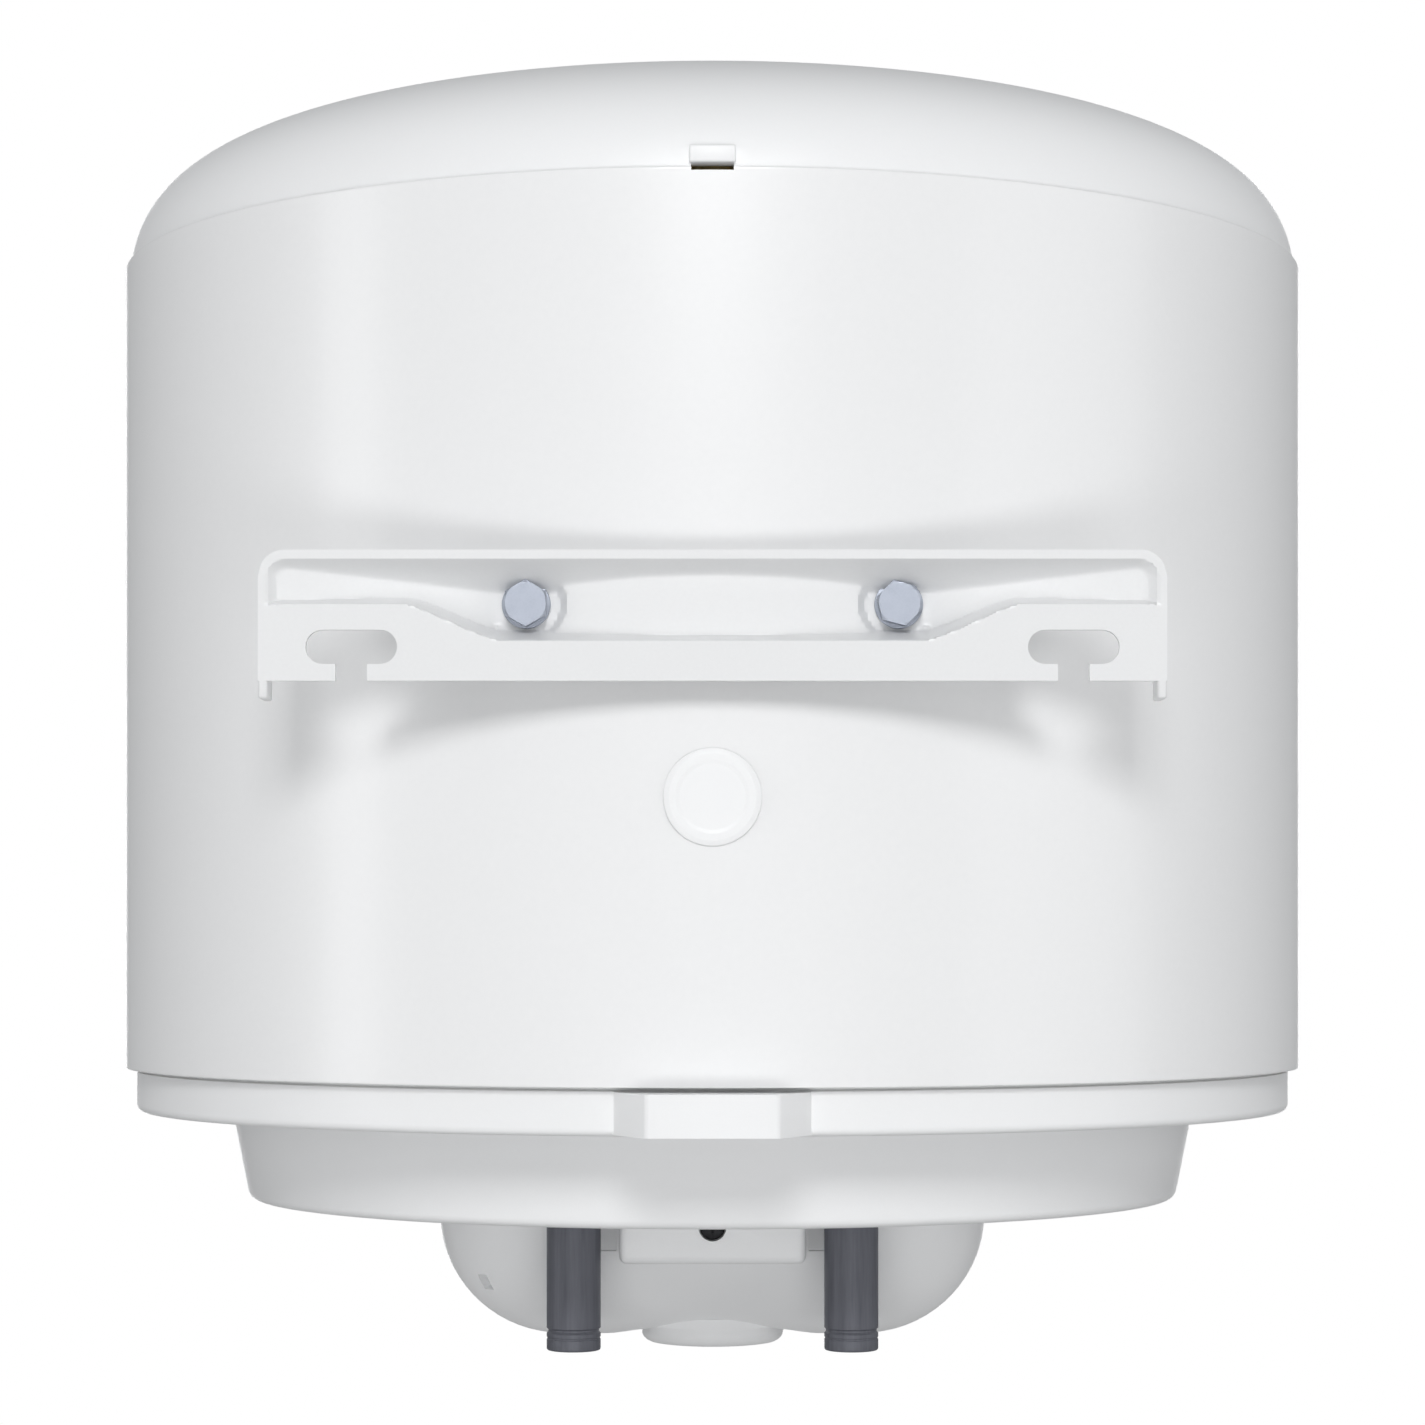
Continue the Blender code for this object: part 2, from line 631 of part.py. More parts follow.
def make_bracket_bolts():
    for side, hand in ((-1, "right"), (1, "left")):
        x = side * BOLT_X
        seat = -BOLT_DEPTH + GAP
        turned(f"bracket_washer_{hand}", [
            (0.0078, 0.0012), (0.0078, 0), (0.0043, 0), (0.0043, 0.0012),
        ], (x, seat, BOLT_Z), ZINC, steps=SMALL_SIDES, ring=True, lying=True)
        hex_bolt(f"bracket_bolt_{hand}", (x, seat + 0.0012 + GAP, BOLT_Z), (0, -1, 0), 0.026)


def make_pipes():
    for side, name in ((1, "cold_water_nipple"), (-1, "hot_water_nipple")):
        turned(name, [
            (PIPE_RADIUS, PIPE_TOP), (PIPE_RADIUS, PIPE_END + 0.0080),
            (PIPE_RADIUS - 0.0006, PIPE_END + 0.0072), (PIPE_RADIUS, PIPE_END + 0.0062),
            (PIPE_RADIUS, PIPE_END + 0.0010), (PIPE_RADIUS - 0.0008, PIPE_END),
            (PIPE_BORE, PIPE_END), (PIPE_BORE, PIPE_TOP),
        ], (side * PIPE_X, PIPE_Y, 0), PIPE_GREY, steps=SMALL_SIDES, ring=True)
    for side, hand in ((1, "cold"), (-1, "hot")):
        turned(f"{hand}_pipe_seal", [
            (SEAL_RADIUS, CUP_BOTTOM + 0.0070), (SEAL_RADIUS, CUP_BOTTOM + CAP_WALL + GAP),
            (PIPE_RADIUS + GAP, CUP_BOTTOM + CAP_WALL + GAP), (PIPE_RADIUS + GAP, CUP_BOTTOM + 0.0070),
        ], (side * PIPE_X, PIPE_Y, 0), RUBBER, steps=SMALL_SIDES, ring=True)
    bore = PIPE_BORE - 2 * GAP
    turned("hot_outlet_tube", [
        (bore, 0.150), (bore, CUP_BOTTOM), (bore - 0.0008, CUP_BOTTOM), (bore - 0.0008, 0.150),
    ], (-PIPE_X, PIPE_Y, 0), STEEL, steps=16, ring=True)
    diffuser = turned("cold_inlet_diffuser", [
        (0, -0.128), (0.014, -0.130), (0.014, -0.132), (bore, -0.133), (bore, CUP_BOTTOM),
        (bore - 0.0014, CUP_BOTTOM), (bore - 0.0014, -0.132), (0, -0.132),
    ], (PIPE_X, PIPE_Y, 0), WHITE_PLASTIC, steps=16)
    cut(diffuser, box("diffuser_ports", (PIPE_X - 0.02, PIPE_Y - 0.002, -0.144),
                      (PIPE_X + 0.02, PIPE_Y + 0.002, -0.136)))


def flange_bolt_places():
    places = []
    for index in range(FLANGE_BOLTS):
        angle = math.radians(360 / FLANGE_BOLTS * index - 90)
        places.append((FLANGE_BOLT_CIRCLE * math.cos(angle),
                       AXIS_Y + FLANGE_BOLT_CIRCLE * math.sin(angle)))
    return places


def make_flange():
    flange = cylinder("heater_flange", COLLAR_RADIUS, (0, AXIS_Y, FLANGE_BOTTOM),
                      (0, AXIS_Y, FLANGE_TOP), STEEL, sides=32)
    holes = [
        (0, AXIS_Y, 0.0064, "pocket"), (0, ANODE_Y, BOLT_SHANK + GAP, "anode"),
        (-ELEMENT_HALF, ELEMENT_Y, 0.0045, "leg_a"), (ELEMENT_HALF, ELEMENT_Y, 0.0045, "leg_b"),
        (EARTH_X, EARTH_Y, 0.0022, "earth"),
    ]
    for index, (x, y) in enumerate(flange_bolt_places()):
        holes.append((x, y, 0.0045, f"bolt_{index}"))
    for x, y, radius, use in holes:
        cut(flange, cylinder(f"flange_hole_{use}", radius, (x, y, FLANGE_BOTTOM - 0.01),
                             (x, y, FLANGE_TOP + 0.01), sides=12))
    turned("flange_gasket", [
        (0.0415, COLLAR_BOTTOM - GAP), (0.0415, FLANGE_TOP + GAP),
        (COLLAR_BORE + GAP, FLANGE_TOP + GAP), (COLLAR_BORE + GAP, COLLAR_BOTTOM - GAP),
    ], (0, AXIS_Y, 0), RUBBER, steps=24, ring=True)
    for index, (x, y) in enumerate(flange_bolt_places()):
        hex_bolt(f"flange_bolt_{index + 1}", (x, y, FLANGE_BOTTOM - GAP), (0, 0, 1), 0.015)


def make_element():
    low, bend = -0.195, -0.010
    over = [(x, ELEMENT_Y, z) for x, z in arc((0, bend), ELEMENT_HALF, 180, 0, 10)]
    points = [(-ELEMENT_HALF, ELEMENT_Y, low), *over, (ELEMENT_HALF, ELEMENT_Y, low)]
    wire("heating_element", points, ELEMENT_RADIUS, COPPER)


def make_anode():
    stub = BOLT_SHANK
    turned("anode_rod", [
        (0, 0.033), (0.009, 0.033), (0.009, -0.157), (stub, -0.157), (stub, -0.190), (0, -0.190),
    ], (0, ANODE_Y, 0), MAGNESIUM, steps=16)
    nut = cylinder("anode_nut", 0.0075, (0, ANODE_Y, FLANGE_BOTTOM - 0.0053),
                   (0, ANODE_Y, FLANGE_BOTTOM - GAP), ZINC, sides=6)
    cut(nut, cylinder("anode_nut_hole", stub + GAP, (0, ANODE_Y, FLANGE_BOTTOM - 0.01),
                      (0, ANODE_Y, FLANGE_BOTTOM + 0.01), sides=12))


def make_thermostat():
    turned("thermostat_pocket", [
        (0, -0.026), (0.0035, -0.026), (0.006, -0.029), (0.006, FLANGE_BOTTOM),
        (0.0046, FLANGE_BOTTOM), (0.0046, -0.030), (0, -0.028),
    ], (0, AXIS_Y, 0), COPPER, steps=16)
    cylinder("thermostat_probe", 0.0035, (0, AXIS_Y, THERMOSTAT_TOP + GAP),
             (0, AXIS_Y, -0.040), STEEL, sides=12)
    half = THERMOSTAT_HALF
    body = box("thermostat_body", (-half, AXIS_Y - half, THERMOSTAT_BOTTOM),
               (half, AXIS_Y + half, THERMOSTAT_TOP), BLACK_PLASTIC)
    bevel = body.modifiers.new("edges", "BEVEL")
    bevel.width = 0.0015
    bevel.segments = 2
    cut(body, cylinder("spindle_well", 0.0035, (0, AXIS_Y, THERMOSTAT_BOTTOM - 0.01),
                       (0, AXIS_Y, THERMOSTAT_BOTTOM + 0.007), sides=16))
    cut(body, cylinder("button_well", BUTTON_RADIUS + GAP,
                       (BUTTON_OFFSET, AXIS_Y + BUTTON_OFFSET, THERMOSTAT_BOTTOM - 0.01),
                       (BUTTON_OFFSET, AXIS_Y + BUTTON_OFFSET, BUTTON_WELL), sides=16))


def make_reset_button():
    x, y = BUTTON_OFFSET, AXIS_Y + BUTTON_OFFSET
    stem_top = THERMOSTAT_BOTTOM + 0.0045
    cylinder("reset_button", BUTTON_RADIUS, (x, y, THERMOSTAT_BOTTOM - 0.004), (x, y, stem_top),
             RED, sides=16)
    turns, sides = 4, 6
    radius, wire_radius = 0.0018, 0.00025
    low = stem_top + wire_radius + GAP
    high = BUTTON_WELL - wire_radius - GAP
    coil = []
    for step in range(turns * sides + 1):
        share = step / (turns * sides)
        angle = 2 * math.pi * turns * share
        coil.append((x + radius * math.cos(angle), y + radius * math.sin(angle),
                     low + (high - low) * share))
    wire("reset_spring", coil, wire_radius, STEEL, resolution=1)


def make_knob():
    shaft = 0.003
    spindle = cylinder("thermostat_spindle", shaft, (0, AXIS_Y, -0.2330),
                       (0, AXIS_Y, THERMOSTAT_BOTTOM + 0.006), STEEL, sides=16)
    cut(spindle, box("spindle_flat", (-0.01, AXIS_Y + 0.0020, -0.24),
                     (0.01, AXIS_Y + 0.01, THERMOSTAT_BOTTOM - 0.001)))
    hub, edge = 0.006, 0.0045
    bore_end, hub_top = -0.2335, -0.2185
    turned("temperature_knob", [
        (0, bore_end), (shaft + GAP, bore_end), (shaft + GAP, hub_top), (hub, hub_top),
        (hub, KNOB_TOP), (KNOB_RADIUS, KNOB_TOP),
        *arc((KNOB_RADIUS - edge, KNOB_BOTTOM + edge), edge, 0, -90, 3), (0, KNOB_BOTTOM),
    ], (0, AXIS_Y, 0), WHITE_PLASTIC, steps=28)


def cover_outline():
    """The cover seen from below: broad round corners at the front, tighter ones at the wall side."""
    front, rear = COVER_FRONT_CORNER, COVER_REAR_CORNER
    return [
        *arc((COVER_HALF - rear, COVER_REAR - rear), rear, 0, 90, 5),
        *arc((-COVER_HALF + rear, COVER_REAR - rear), rear, 90, 180, 5),
        *arc((-COVER_HALF + front, COVER_FRONT + front), front, 180, 270, 5),
        *arc((COVER_HALF - front, COVER_FRONT + front), front, 270, 360, 5),
    ]


def cover_levels():
    """How far in the cover's wall has moved at each height, down to its flat underside."""
    edge_top = COVER_BOTTOM + COVER_EDGE
    levels = [(0.0, COVER_TOP), ((COVER_TOP - edge_top) * COVER_DRAFT, edge_top)]
    for x, z in arc((0, edge_top), COVER_EDGE, 0, -90, 5)[1:]:
        levels.append((COVER_EDGE - x + (COVER_TOP - z) * COVER_DRAFT, z))
    return levels


def make_cover():
    bm = bmesh.new()
    lid = bm.faces.new([bm.verts.new((x, y, COVER_TOP)) for x, y in cover_outline()])
    levels = cover_levels()
    for (inset, z), (next_inset, next_z) in zip(levels, levels[1:]):
        bmesh.ops.inset_region(bm, faces=[lid], thickness=next_inset - inset,
                               use_even_offset=True, use_boundary=True)
        bmesh.ops.translate(bm, verts=lid.verts, vec=(0, 0, next_z - z))
    cover = place("electrical_cover", mesh_from(bm, "electrical_cover"), (0, 0, 0), WHITE_PLASTIC)
    shell = cover.modifiers.new("shell", "SOLIDIFY")
    shell.thickness = COVER_WALL
    shell.offset = -1.0
    shell.use_even_offset = True
    lug = box("cover_lug", (-LUG_HALF, COVER_REAR - 0.004, LUG_BOTTOM),
              (LUG_HALF, LUG_REAR, COVER_TOP))
    bevel = lug.modifiers.new("edges", "BEVEL")
    bevel.width = 0.003
    bevel.segments = 2
    seat = cylinder("recess_seat", KNOB_RECESS - 0.004, (0, AXIS_Y, KNOB_RECESS_Z - 0.004),
                    (0, AXIS_Y, KNOB_RECESS_Z + COVER_WALL), sides=32)
    join(cover, lug, seat)
    cut(cover, cylinder("knob_recess", KNOB_RECESS, (0, AXIS_Y, COVER_BOTTOM - 0.01),
                        (0, AXIS_Y, KNOB_RECESS_Z), sides=32))
    cut(cover, cylinder("knob_hole", 0.0075, (0, AXIS_Y, COVER_BOTTOM - 0.01),
                        (0, AXIS_Y, KNOB_RECESS_Z + 0.01)))
    cut(cover, box("lug_hollow", (-LUG_HALF + 0.003, COVER_REAR + 0.0025, LUG_BOTTOM + 0.003),
                   (LUG_HALF - 0.003, COVER_REAR + 0.0116, COVER_TOP + 0.01)))
    cut(cover, cylinder("screw_recess", SCREW_RECESS, (0, LUG_REAR + 0.01, SCREW_Z),
                        (0, LUG_REAR - 0.004, SCREW_Z)))
    cut(cover, cylinder("screw_hole", 0.0021, (0, LUG_REAR, SCREW_Z), (0, COVER_REAR + 0.006, SCREW_Z),
                        sides=12))
    join(cover, slanted_box("slot_boss", BLIND_SLOT_AT, SLOT_BOSS_SIZE, -SLOT_BOSS_DEPTH, -COVER_WALL / 3,
                            BLIND_SLOT_DIP, BLIND_SLOT_TURN))
    cut(cover, slanted_box("blind_slot", BLIND_SLOT_AT, BLIND_SLOT_SIZE, -BLIND_SLOT_DEPTH, 0.008,
                           BLIND_SLOT_DIP, BLIND_SLOT_TURN))
    cut(cover, cylinder("gland_hole", 0.0075, (-0.045, AXIS_Y - 0.055, COVER_BOTTOM - 0.01),
                        (-0.045, AXIS_Y - 0.055, COVER_BOTTOM + 0.01)))
    cut(cover, cylinder("lamp_hole", 0.0043, (0.030, AXIS_Y - 0.055, COVER_BOTTOM - 0.01),
                        (0.030, AXIS_Y - 0.055, COVER_BOTTOM + 0.01), sides=16))
    for side in (-1, 1):
        cut(cover, slanted_box(f"pipe_relief_{side}", (side * RELIEF_X, COVER_REAR - 0.0002, RELIEF_Z),
                               RELIEF_SIZE, -RELIEF_DEPTH, 0.008, math.atan(COVER_DRAFT), math.radians(90)))
        join(cover, box(f"hook_{side}", (side * 0.04 - 0.008, COVER_FRONT + 0.0005, COVER_TOP - 0.006),
                        (side * 0.04 + 0.008, COVER_FRONT + 0.0025, CUP_BOTTOM + 0.0020)))


def make_cover_fittings():
    head, shank = 0.0046, 0.0018
    turned("cover_screw", [
        (0, 0.0025), (head, 0.0016), (head, 0), (shank, 0), (shank, -0.0095), (0, -0.0105),
    ], (0, LUG_REAR - 0.004 + GAP, SCREW_Z), BLACK_OXIDE, steps=16, lying=True)
    turned("cable_grommet", [
        (0.0070, 0.0045), (0.0070, -0.0003), (0.0100, -0.0003), (0.0095, -0.0022), (0.0045, -0.0022),
        (0.0045, 0.0045),
    ], (-0.045, AXIS_Y - 0.055, COVER_BOTTOM), RUBBER, steps=SMALL_SIDES, ring=True)
    turned("pilot_lamp_lens", [
        (0, 0.0040), (0.0040, 0.0040), (0.0040, -0.0003), (0.0060, -0.0003), (0.0052, -0.0014),
        (0, -0.0022),
    ], (0.030, AXIS_Y - 0.055, COVER_BOTTOM), AMBER, steps=SMALL_SIDES)


def make_terminals():
    top = CUP_BOTTOM - 2 * GAP
    front, rear = AXIS_Y - 0.078, AXIS_Y - 0.064
    block = box("terminal_block", (-0.016, front, top - 0.012), (0.016, rear, top), WHITE_PLASTIC)
    middle = (front + rear) / 2
    for index, x in enumerate((-0.010, 0.0, 0.010)):
        cut(block, cylinder(f"terminal_hole_{index}", 0.0017, (x, middle, top - 0.02),
                            (x, middle, top - 0.004), sides=12))
        turned(f"terminal_screw_{index + 1}", [
            (0, top - 0.0055), (0.0014, top - 0.0055), (0.0014, top - 0.0123),
            (0.0026, top - 0.0123), (0.0026, top - 0.0138), (0, top - 0.0142),
        ], (x, middle, 0), ZINC, steps=12)
    turned("earth_screw", [
        (0, FLANGE_TOP), (0.0018, FLANGE_TOP), (0.0018, FLANGE_BOTTOM - GAP),
        (0.0040, FLANGE_BOTTOM - GAP), (0.0040, FLANGE_BOTTOM - 0.0022), (0, FLANGE_BOTTOM - 0.0028),
    ], (EARTH_X, EARTH_Y, 0), ZINC, steps=16)


def make_wires():
    block_face = AXIS_Y - 0.064 + 0.0006
    body_face = AXIS_Y - THERMOSTAT_HALF - 0.0006
    wire_radius = 0.0011
    for start, end, name, look in ((-0.010, -0.008, "live_wire", BROWN), (0, 0.005, "neutral_wire", BLUE)):
        wire(name, smooth_route([
            (start, block_face, -0.193), (start, AXIS_Y - 0.055, -0.199), (end, AXIS_Y - 0.040, -0.207),
            (end, AXIS_Y - 0.028, -0.208), (end, body_face, -0.205),
        ]), wire_radius, look, resolution=1)
    for side, name, look in ((-1, "element_wire_live", BROWN), (1, "element_wire_neutral", BLUE)):
        wire(name, smooth_route([
            (side * 0.016, body_face, -0.206), (side * 0.017, AXIS_Y - 0.026, -0.209),
            (side * 0.015, AXIS_Y - 0.029, -0.203), (side * 0.013, ELEMENT_Y, -0.1953 - wire_radius),
        ]), wire_radius, look, resolution=1)
    wire("earth_wire", smooth_route([
        (0.010, block_face, -0.193), (0.017, AXIS_Y - 0.056, -0.1955), (0.024, AXIS_Y - 0.050, -0.191),
        (EARTH_X, EARTH_Y - 0.0055, -0.1846),
    ]), wire_radius, GREEN, resolution=1)


def main():
    make_jacket()
    make_top_cap()
    make_bottom_cap()
    make_foam()
    make_tank()
    make_tank_bosses()
    make_port_plug()
    make_bracket()
    make_bracket_bolts()
    make_pipes()
    make_flange()
    make_element()
    make_anode()
    make_thermostat()
    make_reset_button()
    make_knob()
    make_cover()
    make_cover_fittings()
    make_terminals()
    make_wires()


main()
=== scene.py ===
# %% [markdown]
# # A wall-hung water heater, seen from its wall side
#
# This lesson dresses the engineering model of a small electric water heater with finer shapes and real
# finishes. The heater hangs on a wall by a pressed steel bracket. Its parts are a painted steel jacket, a
# plastic cap at each end, a plastic cover over the electrics, two water pipes and a thermostat knob.
# The engineering model is loaded first and never moved. Each finer piece then stands in for one of its nodes.
# Distances are in metres, +Z is up, the wall is the plane Y = 0, and the heater stands off it towards -Y.

# %% The engineering model
import json
import math

import bpy
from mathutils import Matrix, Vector


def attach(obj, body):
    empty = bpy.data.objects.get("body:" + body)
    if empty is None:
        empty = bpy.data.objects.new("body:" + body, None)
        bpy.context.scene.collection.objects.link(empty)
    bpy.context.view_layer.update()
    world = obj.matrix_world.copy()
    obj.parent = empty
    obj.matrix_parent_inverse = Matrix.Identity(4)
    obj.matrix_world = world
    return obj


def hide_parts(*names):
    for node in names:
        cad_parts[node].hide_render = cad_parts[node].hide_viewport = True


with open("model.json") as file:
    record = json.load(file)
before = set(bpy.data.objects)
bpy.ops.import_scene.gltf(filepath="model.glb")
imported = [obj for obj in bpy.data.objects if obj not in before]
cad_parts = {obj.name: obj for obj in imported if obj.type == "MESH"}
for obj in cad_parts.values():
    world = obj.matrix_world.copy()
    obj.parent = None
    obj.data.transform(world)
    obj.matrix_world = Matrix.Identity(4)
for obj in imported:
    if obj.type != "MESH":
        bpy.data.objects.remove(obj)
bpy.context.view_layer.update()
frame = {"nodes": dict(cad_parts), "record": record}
bpy.ops.object.select_all(action="DESELECT")

# %% [markdown]
# ## The camera
#
# A heater seen square-on from the wall shows its bracket best. A real photographer stands well back with a
# long lens, so that the round jacket keeps its true width. The camera stands a little below the bracket and
# looks level, and the lens is shifted up to take in the dome, because a tilted camera would make the upright
# sides lean in.

# %% Camera
TANK_Y = -0.234
CAMERA_REACH, CAMERA_HEIGHT = 1.3816, -0.087
camera_data = bpy.data.cameras.new("camera")
camera = bpy.data.objects.new("camera", camera_data)
bpy.context.scene.collection.objects.link(camera)
camera.location = (0.0, TANK_Y + CAMERA_REACH, CAMERA_HEIGHT)
camera.rotation_euler = (math.radians(90), 0.0, math.radians(180))
camera_data.sensor_width = 36
camera_data.lens = 91.9
camera_data.shift_y = 0.157
bpy.context.scene.camera = camera
print("camera at", tuple(round(c, 3) for c in camera.location))

# %% [markdown]
# ## The studio
#
# White goods are photographed in a bright sweep: the background is so light that it turns pure white, while
# the object is lit gently from the front and above. A soft box high behind the camera models the shapes and
# casts the bracket's soft shadow. A long low one opens the shadows underneath. A wing at each side draws a
# long upright reflection on the gloss paint. A last one stands on the room's side, where the camera can't see
# it, so that the heater's front isn't left dark when it is looked at. The world is white where the camera
# looks straight at it and dim grey where it only lights the object, so the jacket's edges can fall away into
# grey. Colours are shown with the plain Standard curve, which keeps white paint white.

# %% World
LEVEL_LIGHT, OVERHEAD_LIGHT = 0.39, 0.30
bpy.context.scene.view_settings.view_transform = "Standard"
world = bpy.data.worlds.new("studio")
bpy.context.scene.world = world
world.use_nodes = True
air = world.node_tree
air.nodes.clear()
seen_white = air.nodes.new("ShaderNodeBackground")
seen_white.inputs["Color"].default_value = (1.0, 1.0, 1.0, 1.0)
seen_white.inputs["Strength"].default_value = 1.0
soft_grey = air.nodes.new("ShaderNodeBackground")
soft_grey.inputs["Color"].default_value = (0.97, 0.985, 1.0, 1.0)
overhead = air.nodes.new("ShaderNodeTexCoord")
upward = air.nodes.new("ShaderNodeSeparateXYZ")
dimmer = air.nodes.new("ShaderNodeMapRange")
dimmer.inputs["From Min"].default_value = 0.2
dimmer.inputs["From Max"].default_value = 1.0
dimmer.inputs["To Min"].default_value = LEVEL_LIGHT
dimmer.inputs["To Max"].default_value = OVERHEAD_LIGHT
air.links.new(overhead.outputs["Generated"], upward.inputs["Vector"])
air.links.new(upward.outputs["Z"], dimmer.inputs["Value"])
air.links.new(dimmer.outputs["Result"], soft_grey.inputs["Strength"])
rays = air.nodes.new("ShaderNodeLightPath")
pick = air.nodes.new("ShaderNodeMixShader")
world_out = air.nodes.new("ShaderNodeOutputWorld")
air.links.new(rays.outputs["Is Camera Ray"], pick.inputs["Fac"])
air.links.new(soft_grey.outputs["Background"], pick.inputs[1])
air.links.new(seen_white.outputs["Background"], pick.inputs[2])
air.links.new(pick.outputs["Shader"], world_out.inputs["Surface"])
print("world light:", LEVEL_LIGHT, "from level and", OVERHEAD_LIGHT, "from overhead")


# %% Lamps
def soft_box(name, place, aim, width, height, watts):
    """A rectangular area light at a place, turned to face the point it is aimed at."""
    lamp_data = bpy.data.lights.new(name, "AREA")
    lamp_data.shape = "RECTANGLE"
    lamp_data.size, lamp_data.size_y = width, height
    lamp_data.energy = watts
    lamp = bpy.data.objects.new(name, lamp_data)
    bpy.context.scene.collection.objects.link(lamp)
    lamp.location = place
    lamp.rotation_euler = (Vector(aim) - Vector(place)).to_track_quat("-Z", "Y").to_euler()
    return lamp


heart = (0.0, TANK_Y, 0.0)
soft_box("key_light", (0.0, 3.4, 1.63), heart, 1.0, 0.9, 55)
soft_box("low_fill", (0.0, 2.6, -1.0), (0, TANK_Y, -0.15), 3.0, 0.6, 20)
soft_box("hot_side_wing", (-2.8, 1.0, 0.0), heart, 2.2, 2.2, 14)
soft_box("cold_side_wing", (2.9, 0.9, 0.0), heart, 0.7, 2.0, 12)
room_light = soft_box("room_side_light", (0.0, -3.6, 0.2), heart, 2.4, 2.0, 55)
room_light.visible_camera = False

# %% [markdown]
# ### The floor
#
# The heater hangs, so the floor lies well below it. It is pale in the middle and brightens outwards until it
# meets the white of the background, so no line shows where it ends.

# %% Floor
FLOOR_HEIGHT, FLOOR_RADIUS, PALE_REACH = -1.3, 12.0, 3.2
bpy.ops.mesh.primitive_circle_add(vertices=96, radius=FLOOR_RADIUS, fill_type="NGON",
                                  location=(0, TANK_Y, FLOOR_HEIGHT))
floor = bpy.context.object
floor.name = floor.data.name = "floor"
bpy.ops.object.transform_apply(location=True, rotation=True, scale=True)
floor_paint = bpy.data.materials.new("pale_floor")
floor_paint.use_nodes = True
floor_tree = floor_paint.node_tree
floor_tree.nodes.clear()
floor_place = floor_tree.nodes.new("ShaderNodeTexCoord")
floor_centre = floor_tree.nodes.new("ShaderNodeVectorMath")
floor_centre.operation = "DISTANCE"
floor_centre.inputs[1].default_value = (0, TANK_Y, FLOOR_HEIGHT)
floor_ramp = floor_tree.nodes.new("ShaderNodeMapRange")
floor_ramp.inputs["From Max"].default_value = PALE_REACH
floor_ramp.inputs["To Min"].default_value = 0.90
floor_ramp.inputs["To Max"].default_value = 1.0
floor_glow = floor_tree.nodes.new("ShaderNodeEmission")
floor_matt = floor_tree.nodes.new("ShaderNodeBsdfDiffuse")
floor_matt.inputs["Color"].default_value = (0.45, 0.45, 0.45, 1)
floor_rays = floor_tree.nodes.new("ShaderNodeLightPath")
floor_pick = floor_tree.nodes.new("ShaderNodeMixShader")
floor_out = floor_tree.nodes.new("ShaderNodeOutputMaterial")
floor_tree.links.new(floor_place.outputs["Object"], floor_centre.inputs[0])
floor_tree.links.new(floor_centre.outputs["Value"], floor_ramp.inputs["Value"])
floor_tree.links.new(floor_ramp.outputs["Result"], floor_glow.inputs["Color"])
floor_tree.links.new(floor_rays.outputs["Is Camera Ray"], floor_pick.inputs["Fac"])
floor_tree.links.new(floor_matt.outputs["BSDF"], floor_pick.inputs[1])
floor_tree.links.new(floor_glow.outputs["Emission"], floor_pick.inputs[2])
floor_tree.links.new(floor_pick.outputs["Shader"], floor_out.inputs["Surface"])
floor.data.materials.append(floor_paint)
print("floor at a height of", FLOOR_HEIGHT, "with", len(floor.data.vertices), "corners")

# %% [markdown]
# ## Finishes
#
# No real surface is one flat colour. Paint has a faint ripple, moulded plastic keeps the fine grain of its
# mould, and plated steel shows crystals. Each finish here is the same small graph: a noise read at the
# object's own coordinates tints the colour a little, varies the roughness, and raises a very shallow bump.
# Only the sizes and strengths change, and those are what make one finish look like paint and another like
# rubber. The gloss of a clear top layer is a number on the shader itself.


